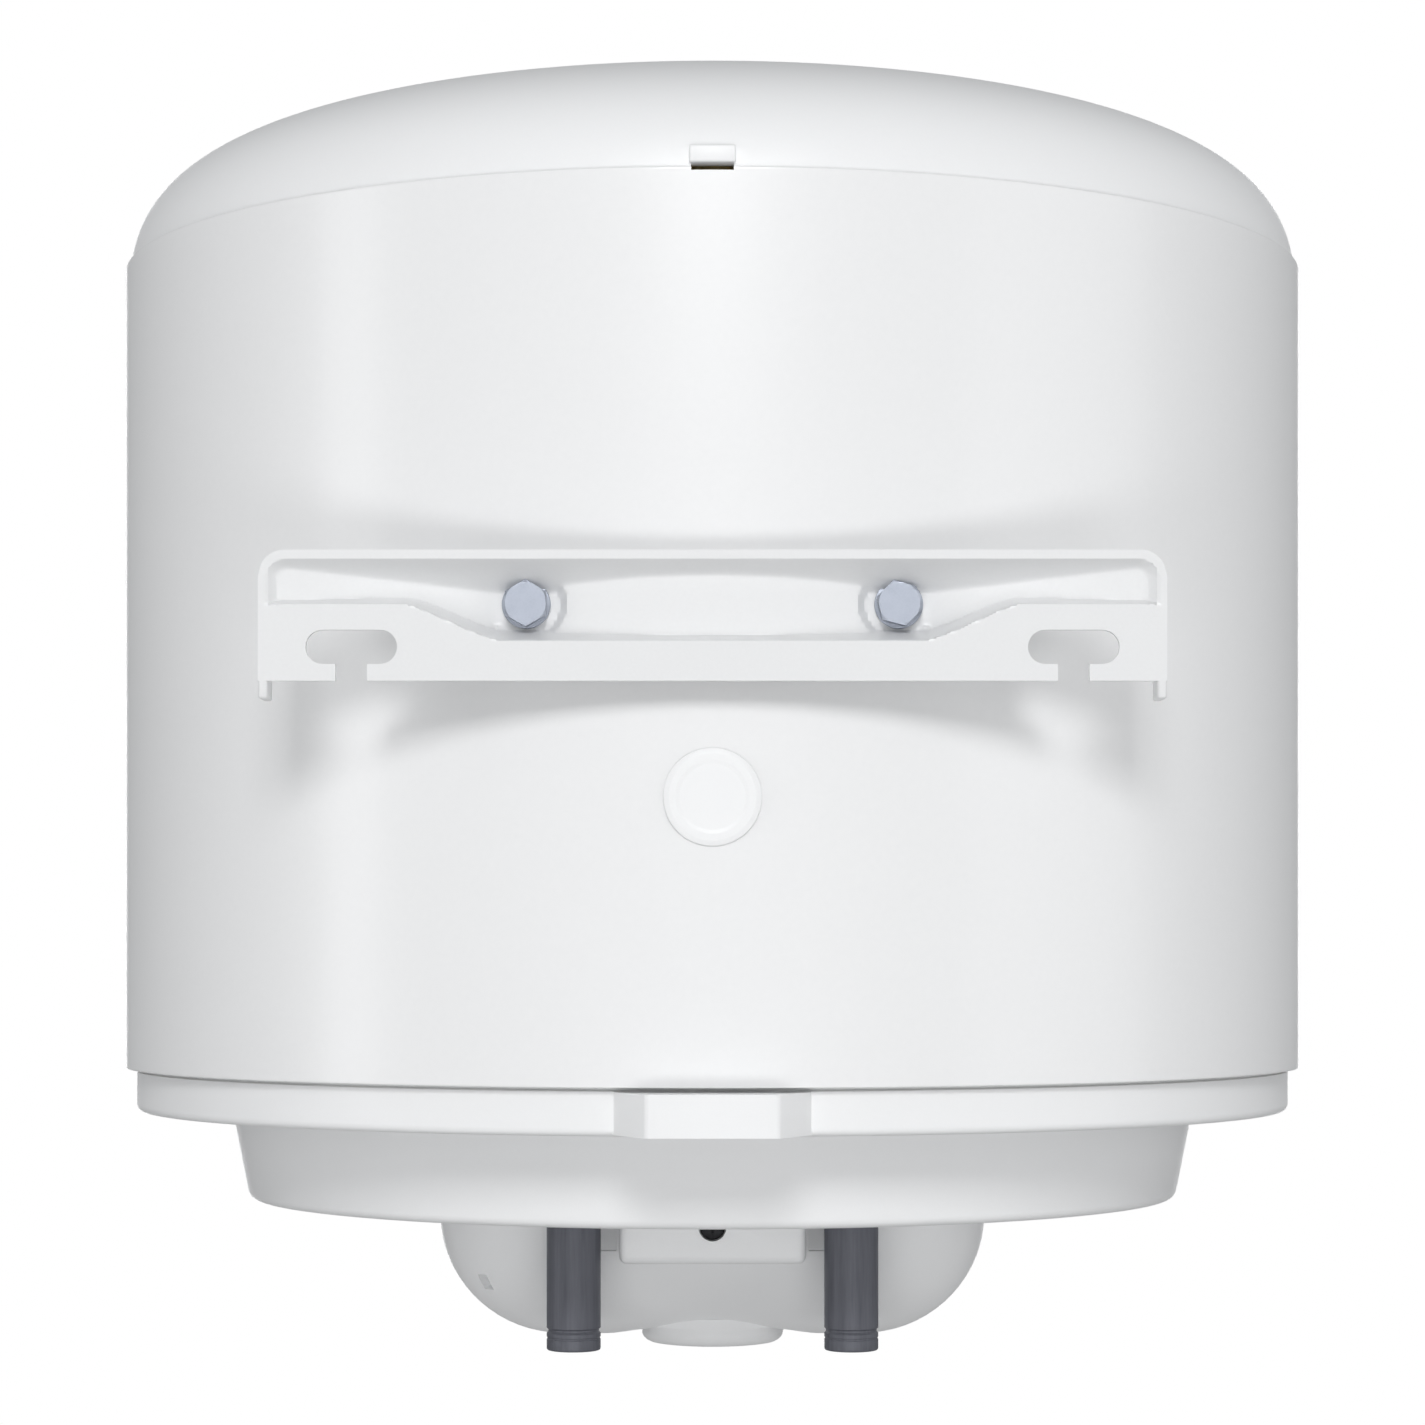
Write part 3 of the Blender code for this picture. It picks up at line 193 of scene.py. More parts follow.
# %% Finish helper
def finish(name, colour, other, grain, rough, bump, metal=0.0, stretch=(1, 1, 1), pattern="NOISE",
           coat=0.0, coat_rough=0.1, blotch=6.0, blotch_share=0.3):
    """A procedural finish: two near colours, a grain of so many cells a metre, and a bump in metres."""
    made = bpy.data.materials.new(name)
    made.use_nodes = True
    tree = made.node_tree
    shader = tree.nodes["Principled BSDF"]
    shader.inputs["Metallic"].default_value = metal
    shader.inputs["Coat Weight"].default_value = coat
    shader.inputs["Coat Roughness"].default_value = coat_rough
    place = tree.nodes.new("ShaderNodeTexCoord")
    turn = tree.nodes.new("ShaderNodeMapping")
    turn.inputs["Scale"].default_value = stretch
    tree.links.new(place.outputs["Object"], turn.inputs["Vector"])
    if pattern == "CELLS":
        fine = tree.nodes.new("ShaderNodeTexVoronoi")
        fine_out = fine.outputs["Distance"]
    else:
        fine = tree.nodes.new("ShaderNodeTexNoise")
        fine.inputs["Detail"].default_value = 3.0
        fine_out = fine.outputs["Fac"]
    fine.inputs["Scale"].default_value = grain
    wide = tree.nodes.new("ShaderNodeTexNoise")
    wide.inputs["Scale"].default_value = blotch
    wide.inputs["Detail"].default_value = 2.0
    both = tree.nodes.new("ShaderNodeMix")
    both.inputs["Factor"].default_value = blotch_share
    tree.links.new(turn.outputs["Vector"], fine.inputs["Vector"])
    tree.links.new(place.outputs["Object"], wide.inputs["Vector"])
    tree.links.new(fine_out, both.inputs["A"])
    tree.links.new(wide.outputs["Fac"], both.inputs["B"])
    tint = tree.nodes.new("ShaderNodeValToRGB")
    tint.color_ramp.elements[0].position = 0.30
    tint.color_ramp.elements[1].position = 0.70
    tint.color_ramp.elements[0].color = (*other, 1.0)
    tint.color_ramp.elements[1].color = (*colour, 1.0)
    tree.links.new(both.outputs["Result"], tint.inputs["Fac"])
    tree.links.new(tint.outputs["Color"], shader.inputs["Base Color"])
    gloss = tree.nodes.new("ShaderNodeMapRange")
    gloss.inputs["From Min"].default_value = 0.3
    gloss.inputs["From Max"].default_value = 0.7
    gloss.inputs["To Min"].default_value = rough[0]
    gloss.inputs["To Max"].default_value = rough[1]
    tree.links.new(both.outputs["Result"], gloss.inputs["Value"])
    tree.links.new(gloss.outputs["Result"], shader.inputs["Roughness"])
    ripple = tree.nodes.new("ShaderNodeBump")
    ripple.inputs["Distance"].default_value = bump
    ripple.inputs["Strength"].default_value = 0.6
    tree.links.new(fine_out, ripple.inputs["Height"])
    tree.links.new(ripple.outputs["Normal"], shader.inputs["Normal"])
    return made


print("helper ready:", finish.__doc__)

# %% [markdown]
# ### Paints and plastics
#
# The jacket is stove-enamelled sheet: very smooth, with a ripple two millimetres across that only its
# reflections show. The bracket is powder coated, so its ripple is finer and its gloss lower. The caps are
# polypropylene, a touch cooler in tone, with the tight grain of a spark-eroded mould.

# %% Paints and plastics
finishes = {
    "jacket_paint": finish("gloss_enamel", (0.915, 0.918, 0.922), (0.900, 0.904, 0.909), 480, (0.28, 0.36),
                           0.000012, coat=0.25, coat_rough=0.14),
    "bracket_paint": finish("powder_coat", (0.845, 0.850, 0.855), (0.825, 0.830, 0.836), 900, (0.30, 0.42),
                            0.00003, coat=0.15, coat_rough=0.2),
    "cap_plastic": finish("moulded_white", (0.935, 0.940, 0.946), (0.918, 0.924, 0.930), 1600, (0.34, 0.46),
                          0.00002),
    "black_plastic": finish("moulded_black", (0.045, 0.045, 0.05), (0.03, 0.03, 0.034), 1500, (0.4, 0.55),
                            0.00003),
    "red_plastic": finish("button_red", (0.62, 0.03, 0.02), (0.5, 0.02, 0.015), 1500, (0.3, 0.45), 0.00002),
}
print("paints and plastics:", sorted(finishes))

# %% [markdown]
# ### Metals
#
# Zinc plate is bluish and patchy at the scale of a millimetre, so it takes a cell pattern. The pipe stubs are
# steel sleeves with a dark grey phosphate skin, drawn lengthwise, so their noise is stretched along Z.

# %% Metals
finishes.update({
    "pipe_grey": finish("phosphate_grey", (0.150, 0.155, 0.180), (0.100, 0.104, 0.125), 900, (0.38, 0.58),
                        0.00003, metal=0.25, stretch=(1, 1, 0.06), blotch=40),
    "zinc_plate": finish("blue_zinc", (0.41, 0.44, 0.505), (0.37, 0.40, 0.465), 1500, (0.32, 0.5), 0.00001,
                         metal=0.85, pattern="CELLS", blotch=300, blotch_share=0.6),
    # Black oxide, kept this dark as painted shade: on the cover screw its black stands in for the shade deep
    # in the screw hole.
    "black_steel": finish("black_oxide_painted_hole_shade", (0.035, 0.035, 0.038), (0.02, 0.02, 0.022), 800, (0.45, 0.65),
                          0.00002, metal=0.6),
    "bare_steel": finish("rolled_steel", (0.58, 0.58, 0.57), (0.44, 0.44, 0.44), 800, (0.25, 0.45), 0.00002,
                         metal=1.0, stretch=(1, 1, 0.1)),
    "copper_sheath": finish("annealed_copper", (0.72, 0.37, 0.22), (0.50, 0.24, 0.15), 300, (0.3, 0.5),
                            0.00002, metal=1.0, blotch=60),
    "magnesium": finish("cast_magnesium", (0.52, 0.52, 0.50), (0.38, 0.38, 0.37), 600, (0.5, 0.75), 0.00008,
                        metal=0.9),
    "tank_enamel": finish("blue_enamel", (0.06, 0.11, 0.20), (0.035, 0.07, 0.14), 260, (0.2, 0.35), 0.00004,
                          coat=0.5),
})
print("metals added:", len(finishes), "finishes so far")

# %% [markdown]
# ### Rubber, foam, lens and wires
#
# Polyurethane foam is a mass of small cells, rubber is matt with a dusty bloom, and wire insulation is
# extruded, so its marks run along it.

# %% Soft finishes
finishes.update({
    "foam": finish("urethane_foam", (0.84, 0.73, 0.46), (0.66, 0.53, 0.28), 420, (0.85, 0.98), 0.0004,
                   pattern="CELLS", blotch=20),
    "black_rubber": finish("nitrile_rubber", (0.055, 0.055, 0.055), (0.03, 0.03, 0.03), 1100, (0.7, 0.9),
                           0.00004),
    "amber_lens": finish("amber_lens_plastic", (0.85, 0.30, 0.04), (0.65, 0.18, 0.02), 500, (0.1, 0.2),
                         0.00001, coat=0.6),
    "brown_insulation": finish("brown_sleeve", (0.22, 0.08, 0.03), (0.15, 0.05, 0.02), 900, (0.4, 0.6),
                               0.00003),
    "blue_insulation": finish("blue_sleeve", (0.02, 0.09, 0.42), (0.015, 0.06, 0.30), 900, (0.4, 0.6),
                              0.00003),
    "green_insulation": finish("green_sleeve", (0.10, 0.38, 0.05), (0.45, 0.42, 0.03), 160, (0.4, 0.6),
                               0.00003),
})
print("finishes:", len(finishes))

# %% [markdown]
# ### Dressing the nodes that stay
#
# Most of the inner parts keep their engineering shape. Each of them takes the finish that the record names
# for it.

# %% Finishes on the loaded nodes
slot_of = {part["node"]: part["material_slot"] for part in frame["record"]["subparts"]}
for node_name, node in frame["nodes"].items():
    node.data.materials.clear()
    node.data.materials.append(finishes[slot_of[node_name]])
print("dressed", len(slot_of), "nodes")

# %% [markdown]
# ## Tools for the round pieces
#
# Almost everything here is round. On a lathe or in a round mould the shape is one outline turned about an
# axis. The same can be done by hand: start with a circle, then pull it out ring by ring, changing its width
# at each pull. Corners on real parts are never dead sharp, so the outline's corners are rounded first.


# %% Outline helpers
def rounded(corners, steps=5):
    """Replaces each (radius, height, rounding) corner of an outline with a short arc."""
    points = []
    for index, corner in enumerate(corners):
        here = Vector(corner[:2])
        rounding = corner[2] if len(corner) > 2 else 0.0
        if rounding == 0.0:
            points.append(tuple(here))
            continue
        before = Vector(corners[index - 1][:2])
        after = Vector(corners[(index + 1) % len(corners)][:2])
        to_before, to_after = (before - here).normalized(), (after - here).normalized()
        half = to_before.angle(to_after) / 2
        reach = rounding / math.tan(half)
        centre = here + (to_before + to_after).normalized() * (rounding / math.sin(half))
        start, end = here + to_before * reach - centre, here + to_after * reach - centre
        sweep = start.angle(end)
        for step in range(steps + 1):
            share = step / steps
            arm = start * math.sin((1 - share) * sweep) + end * math.sin(share * sweep)
            points.append(tuple(centre + arm / math.sin(sweep)))
    return points


def name_piece(name):
    """Names the object that was just added, and its mesh with it."""
    piece = bpy.context.object
    piece.name = piece.data.name = name
    return piece


def settle(piece, angle=30):
    """Puts a piece's place and turn into its mesh, and shades its soft edges smooth."""
    bpy.ops.object.select_all(action="DESELECT")
    piece.select_set(True)
    bpy.context.view_layer.objects.active = piece
    bpy.ops.object.transform_apply(location=True, rotation=True, scale=True)
    bpy.ops.object.shade_smooth_by_angle(angle=math.radians(angle))
    return piece


print("a rounded corner takes", len(rounded([(0, 0), (1, 0, 0.1), (1, 1)])) - 2, "points")

# %% The ring-by-ring pull
SIDES, FINE_SIDES = 160, 192


def turned(name, outline, centre=(0.0, TANK_Y, 0.0), sides=SIDES, ring=False):
    """Pulls a circle along an outline of (radius, height). A ring outline closes on itself."""
    bpy.ops.object.select_all(action="DESELECT")
    x, y, z = centre
    radius, height = outline[0]
    bpy.ops.mesh.primitive_circle_add(vertices=sides, radius=radius, location=(x, y, z + height),
                                      fill_type="NOTHING" if ring else "NGON")
    piece = name_piece(name)
    bpy.ops.object.mode_set(mode="EDIT")
    bpy.ops.mesh.select_all(action="SELECT")
    for next_radius, next_height in [*outline[1:], *([outline[0]] if ring else [])]:
        bpy.ops.mesh.extrude_region_move(TRANSFORM_OT_translate={"value": (0, 0, next_height - height)})
        wider = next_radius / radius
        bpy.ops.transform.resize(value=(wider, wider, 1), center_override=(x, y, z + next_height))
        radius, height = next_radius, next_height
    bpy.ops.mesh.select_all(action="SELECT")
    if ring:
        bpy.ops.mesh.remove_doubles(threshold=0.00001)
    bpy.ops.mesh.normals_make_consistent(inside=False)
    bpy.ops.object.mode_set(mode="OBJECT")
    return settle(piece)


def laid_over(piece, place):
    """Turns a piece made upright about the origin to lie along Y, with its top to the wall, at a place."""
    piece.rotation_euler.x = -math.pi / 2
    piece.location = place
    return settle(piece)


print("a turned piece has", SIDES, "sides unless it asks for another number")

# %% Blocks, rods and outlines
def block(name, low, high, rounding=0.0, steps=3):
    """A box between two corners, its edges rounded."""
    bpy.ops.object.select_all(action="DESELECT")
    middle = [(a + b) / 2 for a, b in zip(low, high)]
    bpy.ops.mesh.primitive_cube_add(size=1, location=middle)
    piece = name_piece(name)
    piece.scale = [b - a for a, b in zip(low, high)]
    bpy.ops.object.transform_apply(location=True, rotation=True, scale=True)
    if rounding:
        bpy.ops.object.mode_set(mode="EDIT")
        bpy.ops.mesh.select_all(action="SELECT")
        bpy.ops.mesh.bevel(offset=rounding, segments=steps, affect="EDGES")
        bpy.ops.object.mode_set(mode="OBJECT")
    return settle(piece)


def outline_face(name, points):
    """A filled circle with as many corners as the outline, each corner then moved to its place on it."""
    bpy.ops.object.select_all(action="DESELECT")
    bpy.ops.mesh.primitive_circle_add(vertices=len(points), radius=0.1, fill_type="NGON")
    piece = name_piece(name)
    for corner, point in zip(piece.data.vertices, points):
        corner.co = point
    piece.data.update()
    return piece


def plate(name, points, move):
    """A flat outline pulled along a move into a solid."""
    piece = outline_face(name, points)
    bpy.ops.object.mode_set(mode="EDIT")
    bpy.ops.mesh.select_all(action="SELECT")
    bpy.ops.mesh.extrude_region_move(TRANSFORM_OT_translate={"value": move})
    bpy.ops.mesh.select_all(action="SELECT")
    bpy.ops.mesh.normals_make_consistent(inside=False)
    bpy.ops.object.mode_set(mode="OBJECT")
    return settle(piece)


def arc(centre, radius, start, end, steps):
    """Points on a round stretch, from one angle to another, in degrees."""
    found = []
    for step in range(steps + 1):
        angle = math.radians(start + (end - start) * step / steps)
        found.append((centre[0] + radius * math.cos(angle), centre[1] + radius * math.sin(angle)))
    return found


print("a quarter arc:", [tuple(round(c, 2) for c in point) for point in arc((0, 0), 1, 0, 90, 3)])

# %% Cutting and joining
def combine(piece, *tools, by="DIFFERENCE"):
    """Cuts tools from a piece, or joins them to it, and removes them."""
    for tool in tools:
        change = piece.modifiers.new(tool.name, "BOOLEAN")
        change.operation = by
        change.object = tool
        change.solver = "EXACT"
        bpy.ops.object.select_all(action="DESELECT")
        piece.select_set(True)
        bpy.context.view_layer.objects.active = piece
        bpy.ops.object.modifier_apply(modifier=change.name)
        bpy.data.objects.remove(tool, do_unlink=True)
    return settle(piece)


def present(piece, body, slot, *nodes):
    """Gives a finished piece its finish and its body, and hides the nodes that it stands for."""
    piece.data.materials.clear()
    piece.data.materials.append(finishes[slot])
    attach(piece, body)
    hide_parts(*nodes)
    print(piece.name, "has", sum(len(face.vertices) - 2 for face in piece.data.polygons), "triangles")


print("ready to present pieces in", len(finishes), "finishes")

# %% [markdown]
# ## The painted jacket
#
# The jacket is one sheet of 0.8 mm steel rolled into a drum and enamelled. A cylinder with no ends and a
# solid wall would do, but its cut edges would look like paper. So its outline is drawn with both edges
# rounded, and pulled into a ring. Four holes are then cut: the slot that the top cap's latch springs into,
# the foam filling port, and one for each bracket boss.

# %% Jacket
DRUM = 0.220
SHEET = 0.0008
JACKET_TOP, JACKET_FOOT = 0.159, -0.1356
LATCH_HALF, LATCH_LOW, LATCH_HIGH = 0.00685, 0.1578, 0.1603
ring_heights = (0.158, 0.154, 0.033, 0.005, -0.026, -0.059, -0.1345)
drum_edge = SHEET * 0.45
jacket = turned("painted_jacket", rounded([
    (DRUM, JACKET_TOP, drum_edge), *[(DRUM, z) for z in ring_heights], (DRUM, JACKET_FOOT, drum_edge),
    (DRUM - SHEET, JACKET_FOOT, drum_edge), (DRUM - SHEET, JACKET_TOP, drum_edge),
], steps=3), sides=FINE_SIDES, ring=True)
WALL_SIDE = TANK_Y + DRUM
BOLT_X, BOLT_Z, PORT_Z = 0.0595, 0.019, -0.0425
PORT_HOLE, BOSS_HOLE = 0.0138, 0.0115


def rod_to_wall(name, radius, x, z, start, end, sides=48):
    """A plain rod along Y, used as a drill."""
    drill = turned(name, [(radius, start), (radius, end)], (0, 0, 0), sides=sides)
    return laid_over(drill, (x, 0, z))


def latch_cutter(name):
    """The block that opens the latch's slot through a wall."""
    return block(name, (-LATCH_HALF, WALL_SIDE - 0.01, LATCH_LOW), (LATCH_HALF, WALL_SIDE + 0.01, LATCH_HIGH))


combine(jacket,
        latch_cutter("latch_mouth"),
        rod_to_wall("port_drill", PORT_HOLE, 0, PORT_Z, WALL_SIDE - 0.03, WALL_SIDE + 0.01),
        rod_to_wall("left_boss_drill", BOSS_HOLE, BOLT_X, BOLT_Z, TANK_Y + 0.19, TANK_Y + 0.23),
        rod_to_wall("right_boss_drill", BOSS_HOLE, -BOLT_X, BOLT_Z, TANK_Y + 0.19, TANK_Y + 0.23))
present(jacket, "heater", "jacket_paint", "jacket")

# %% [markdown]
# ## The domed top cap
#
# The top cap is blow moulded in one piece. Its section is one easy curve that is flat at the crown and turns
# down into the side. A scaled ball would bulge too much at the shoulder, so the curve is a Bezier with a
# handle at the crown and one at the shoulder. The circle starts inside the crown, goes down the inner face,
# turns round the skirt and comes back up the outer face. A small hood over the latch slot is joined on.


# %% Top cap
CAP_RADIUS, CAP_CROWN, CAP_SKIRT, CAP_WALL = 0.2184, 0.2166, 0.149, 0.0025


def dome(inset, steps):
    """The cap's outline from its crown out and down to its side, moved inwards by the inset."""
    crown = Vector((0, CAP_CROWN - inset))
    crown_handle = Vector((0.1459, CAP_CROWN - inset))
    shoulder_handle = Vector((CAP_RADIUS - inset, 0.2096 - inset))
    side = Vector((CAP_RADIUS - inset, 0.1536))
    points = []
    for step in range(1, steps + 1):
        t = step / steps
        points.append(tuple(
            crown * (1 - t) ** 3 + crown_handle * 3 * t * (1 - t) ** 2
            + shoulder_handle * 3 * t * t * (1 - t) + side * t ** 3))
    return points


top_cap = turned("domed_top_cap", [
    *dome(CAP_WALL, 24), *rounded([
        (CAP_RADIUS - CAP_WALL, 0.152), (CAP_RADIUS - CAP_WALL, CAP_SKIRT, 0.001),
        (CAP_RADIUS, CAP_SKIRT, 0.001), (CAP_RADIUS, 0.152)])[1:-1],
    *reversed(dome(0, 40)),
], sides=FINE_SIDES)
hood = block("latch_hood", (-0.0075, TANK_Y + CAP_RADIUS - 0.006, LATCH_HIGH),
             (0.0075, TANK_Y + 0.2202, 0.1660), rounding=0.0008)
combine(top_cap, hood, by="UNION")
combine(top_cap, latch_cutter("cap_latch_mouth"))
present(top_cap, "heater", "cap_plastic", "top_cap")

# %% [markdown]
# ## The moulded bottom cap
#
# The bottom cap has a ring that tucks under the jacket behind a fine groove, a tapered cup, and a square
# spacer that keeps the heater's foot off the wall. The ring and cup are one turned outline. The spacer is a
# flat outline with splayed sides pulled upwards, hollowed, and joined on. Openings for both pipes are cut
# last. The round hole for the flange is part of the outline, which stops short of the middle.

# %% Ring and cup
PIPE_X, PIPE_Y, PIPE_HOLE = 0.050, TANK_Y + 0.071, 0.01035
bottom_cap = turned("moulded_bottom_cap", rounded([
    (0.2146, -0.125, 0.0005), (0.2146, -0.1366), (0.2155, -0.1366), (0.2158, -0.1369),
    (0.2158, -0.1380), (0.2158, -0.1485), (0.2158, -0.1515, 0.0026), (0.1807, -0.1515, 0.0012),
    (0.1742, -0.1846, 0.0038), (0.060, -0.1846, 0.001), (0.060, -0.1821),
    (0.1715, -0.1821, 0.003), (0.1779, -0.149, 0.0008), (0.2133, -0.149, 0.001),
    (0.2133, -0.125, 0.0008),
]), sides=FINE_SIDES, ring=True)
print("ring and cup have", len(bottom_cap.data.polygons), "faces")

# %% Spacer and openings
ROOT_HALF, FACE_HALF, ROOT_Y = 0.032, 0.02125, -0.021
SPACER_FOOT, SPACER_RISE, SPACER_WALL = -0.1509, 0.0138, 0.003


def spacer_outline(inset, height):
    """The spacer seen from above, its front corners eased."""
    ease = 0.0012
    return [(x, y, height) for x, y in (
        (-ROOT_HALF + inset, ROOT_Y + inset), (ROOT_HALF - inset, ROOT_Y + inset),
        (FACE_HALF - inset + ease / 2, -inset - ease), (FACE_HALF - inset - ease / 4, -inset - ease / 4),
        (FACE_HALF - inset - ease, -inset), (-FACE_HALF + inset + ease, -inset),
        (-FACE_HALF + inset + ease / 4, -inset - ease / 4), (-FACE_HALF + inset - ease / 2, -inset - ease))]


spacer = plate("spacer", spacer_outline(0.0, SPACER_FOOT), (0, 0, SPACER_RISE))
combine(spacer, plate("spacer_hollow", spacer_outline(SPACER_WALL, -0.16), (0, 0, 0.0199)))
combine(bottom_cap, spacer, by="UNION")
for side, hand in ((1, "cold"), (-1, "hot")):
    combine(bottom_cap, turned(f"{hand}_pipe_drill", [(PIPE_HOLE, -0.20), (PIPE_HOLE, -0.17)],
                               (side * PIPE_X, PIPE_Y, 0), sides=48))
present(bottom_cap, "heater", "cap_plastic", "bottom_cap")

# %% [markdown]
# ## The foam port plug
#
# The foam is poured through a hole in the jacket that a shallow plastic plug then closes. It is a low turned
# button, made upright and laid over to face the wall.

# %% Port plug
plug = turned("port_plug_button", rounded([
    (0.0114, -0.0012), (0.0114, -0.009, 0.0003), (0.0128, -0.009, 0.0003), (0.0134, 0.0003),
    (0.0158, 0.0003), (0.0156, 0.0006, 0.0002), (0.0140, 0.0011, 0.0010), (0.0118, 0.0011, 0.0010),
    (0.0106, 0.0008, 0.0008), (0.0060, 0.0008),
], steps=3), (0, 0, 0), sides=96)
laid_over(plug, (0, WALL_SIDE, PORT_Z))
present(plug, "heater", "cap_plastic", "foam_port_plug")

# %% [markdown]
# ## The pressed wall bracket
#
# The bracket is a strip of 3 mm steel drawn in a press. A rim and a lower strip stay flat against the wall,
# and the tray between them sinks back to meet the jacket, deepest at two round pads for the bolts. A press
# tool gives each point of the sheet a depth, so a fine grid is the natural start. Each of its points is moved
# to the depth that the tool's first half gives, with the bends softened. The sheet is then pulled back by its
# thickness, and its back is pressed to the second half, which keeps three millimetres from the first all
# over.

# %% The tool's shape
HALF, TOP, RIM, FOOT = 0.1435, 0.035, 0.032, -0.0064
PAD, PAD_DEPTH, END_DEPTH = 0.0108, 0.0155, 0.004
PAD_MARGIN, TRAY_END, BACK_RADIUS = 0.010, 0.134, 0.227
RAMP_START, RAMP_END, STRIP_TOP, EAR_TOP = 0.0676, 0.097, 0.0065, 0.018
PAD_SLOPE, TOP_SLOPE, END_SLOPE, FOOT_SLOPE, BEND = 1.6, 1.73, 1.6, 4.0, 0.0016


def soft_least(values, ease):
    """The least of some lengths, with an eased change from one to the next."""
    least = values[0]
    for value in values[1:]:
        blend = max(ease - abs(least - value), 0.0) / ease
        least = min(least, value) - blend * blend * ease / 4
    return least


def plate_top(x):
    """Height where the flat strip and its ears end and the tray begins."""
    share = min(max((abs(x) - RAMP_START) / (RAMP_END - RAMP_START), 0.0), 1.0)
    share = share * share * (3 - 2 * share) * 0.35 + share * 0.65
    return STRIP_TOP + (EAR_TOP - STRIP_TOP) * share


def tray_floor(x, z):
    """How deep the tray's floor lies at a place, with the round pads under the bolts."""
    across = abs(x)
    if across < BOLT_X + PAD_MARGIN:
        follow = -TANK_Y - math.sqrt(BACK_RADIUS ** 2 - min(across, BOLT_X) ** 2)
    else:
        share = (across - BOLT_X - PAD_MARGIN) / (TRAY_END - BOLT_X - PAD_MARGIN)
        follow = PAD_DEPTH + (END_DEPTH - PAD_DEPTH) * min(share, 1.0)
    from_bolt = math.hypot(across - BOLT_X, z - BOLT_Z)
    pad = PAD_DEPTH - max(from_bolt - PAD, 0.0) * PAD_SLOPE
    return max(follow, pad)


def tool_depth(x, z):
    """Depth of the sheet's wall face at a place."""
    inner_x, inner_z, corner = 0.1405, RIM, 0.0058
    right, up = abs(x) - (inner_x - corner), z - (inner_z - corner)
    inside = corner - math.hypot(max(right, 0.0), max(up, 0.0)) - min(max(right, up), 0.0)
    end_wall = inside * (TOP_SLOPE if up > right else END_SLOPE)
    foot_wall = (z - plate_top(x)) * FOOT_SLOPE
    return max(soft_least([tray_floor(x, z), end_wall, foot_wall], BEND), 0.0)


print("tray depth at the middle", round(tool_depth(0, 0.019), 4), "and at a bolt", tool_depth(BOLT_X, BOLT_Z))

# %% The sheet
COLUMNS, ROWS, CORNER = 260, 72, 0.0085
bpy.ops.object.select_all(action="DESELECT")
bpy.ops.mesh.primitive_grid_add(x_subdivisions=COLUMNS, y_subdivisions=ROWS, size=1.0)
bracket = name_piece("pressed_bracket")
for point in bracket.data.vertices:
    x = point.co.x * 2 * HALF
    rounding = max(abs(x) - (HALF - CORNER), 0.0)
    highest = TOP - (CORNER - math.sqrt(max(CORNER ** 2 - rounding ** 2, 0.0)))
    z = FOOT + (highest - FOOT) * (point.co.y + 0.5)
    point.co = (x, -tool_depth(x, z), z)
STEEL = 0.003


def back_depth(x, z):
    """Depth of the sheet's back: the furthest that a ball of the sheet's thickness reaches from its face."""
    deepest = 0.0
    for ring, reach in ((6, STEEL * 0.5), (12, STEEL * 0.87), (12, STEEL * 0.99)):
        for step in range(ring):
            angle = 2 * math.pi * step / ring
            near_x = max(-HALF, min(HALF, x + reach * math.cos(angle)))
            near = tool_depth(near_x, z + reach * math.sin(angle))
            deepest = max(deepest, near + math.sqrt(STEEL ** 2 - reach ** 2))
    return max(deepest, tool_depth(x, z) + STEEL)


bracket.data.update()
bpy.ops.object.mode_set(mode="EDIT")
bpy.ops.mesh.select_all(action="SELECT")
bpy.ops.mesh.extrude_region_move(TRANSFORM_OT_translate={"value": (0, -STEEL, 0)})
bpy.ops.object.mode_set(mode="OBJECT")
for point in bracket.data.vertices:
    if point.select:
        point.co.y = -back_depth(point.co.x, point.co.z)
bracket.data.update()
bpy.ops.object.mode_set(mode="EDIT")
bpy.ops.mesh.select_all(action="SELECT")
bpy.ops.mesh.normals_make_consistent(inside=False)
bpy.ops.object.mode_set(mode="OBJECT")
print("sheet has", len(bracket.data.polygons), "faces")

# %% [markdown]
# ### Its slots and ends
#
# Each ear has a T-shaped slot. The wall hook's head enters through the throat and slides along the
# round-ended part. The cutter is one flat outline pulled through the sheet. The ends of the strip are folded
# back, and are joined on as blocks with rounded edges.

# %% Slots and folded ends
SLOT_X, SLOT_MIDDLE, SLOT_ROUND, SLOT_REACH, THROAT = 0.114, 0.0043, 0.0054, 0.0091, 0.005
for side, hand in ((1, "left"), (-1, "right")):
    outer, inner = side * HALF, side * (HALF - STEEL)
    fold = block(f"{hand}_fold", (min(outer, inner), -0.014, -0.012), (max(outer, inner), -0.0001, 0.024),
                 rounding=0.0009)
    combine(bracket, fold, by="UNION")
    slot = [
        *arc((SLOT_REACH, 0), SLOT_ROUND, -90, 90, 12), *arc((-SLOT_REACH, 0), SLOT_ROUND, 90, 270, 12),
        (-THROAT, -SLOT_ROUND), (-THROAT, -0.016), (THROAT, -0.016), (THROAT, -SLOT_ROUND),
    ]
    combine(bracket,
            plate(f"{hand}_slot", [(side * SLOT_X + x, 0.01, SLOT_MIDDLE + z) for x, z in slot],
                  (0, -0.02, 0)),
            rod_to_wall(f"{hand}_bolt_drill", 0.0045, side * BOLT_X, BOLT_Z, -0.03, 0.01))
present(bracket, "heater", "bracket_paint", "wall_bracket")

# %% [markdown]
# ## Bolts and washers
#
# A forged hex bolt has its six corners turned off to a shallow cone. A plain six-sided rod lacks those curved
# corners, and they are what catches the light. So the six-sided head keeps only what also lies inside a
# turned cone, and the shank is joined on.

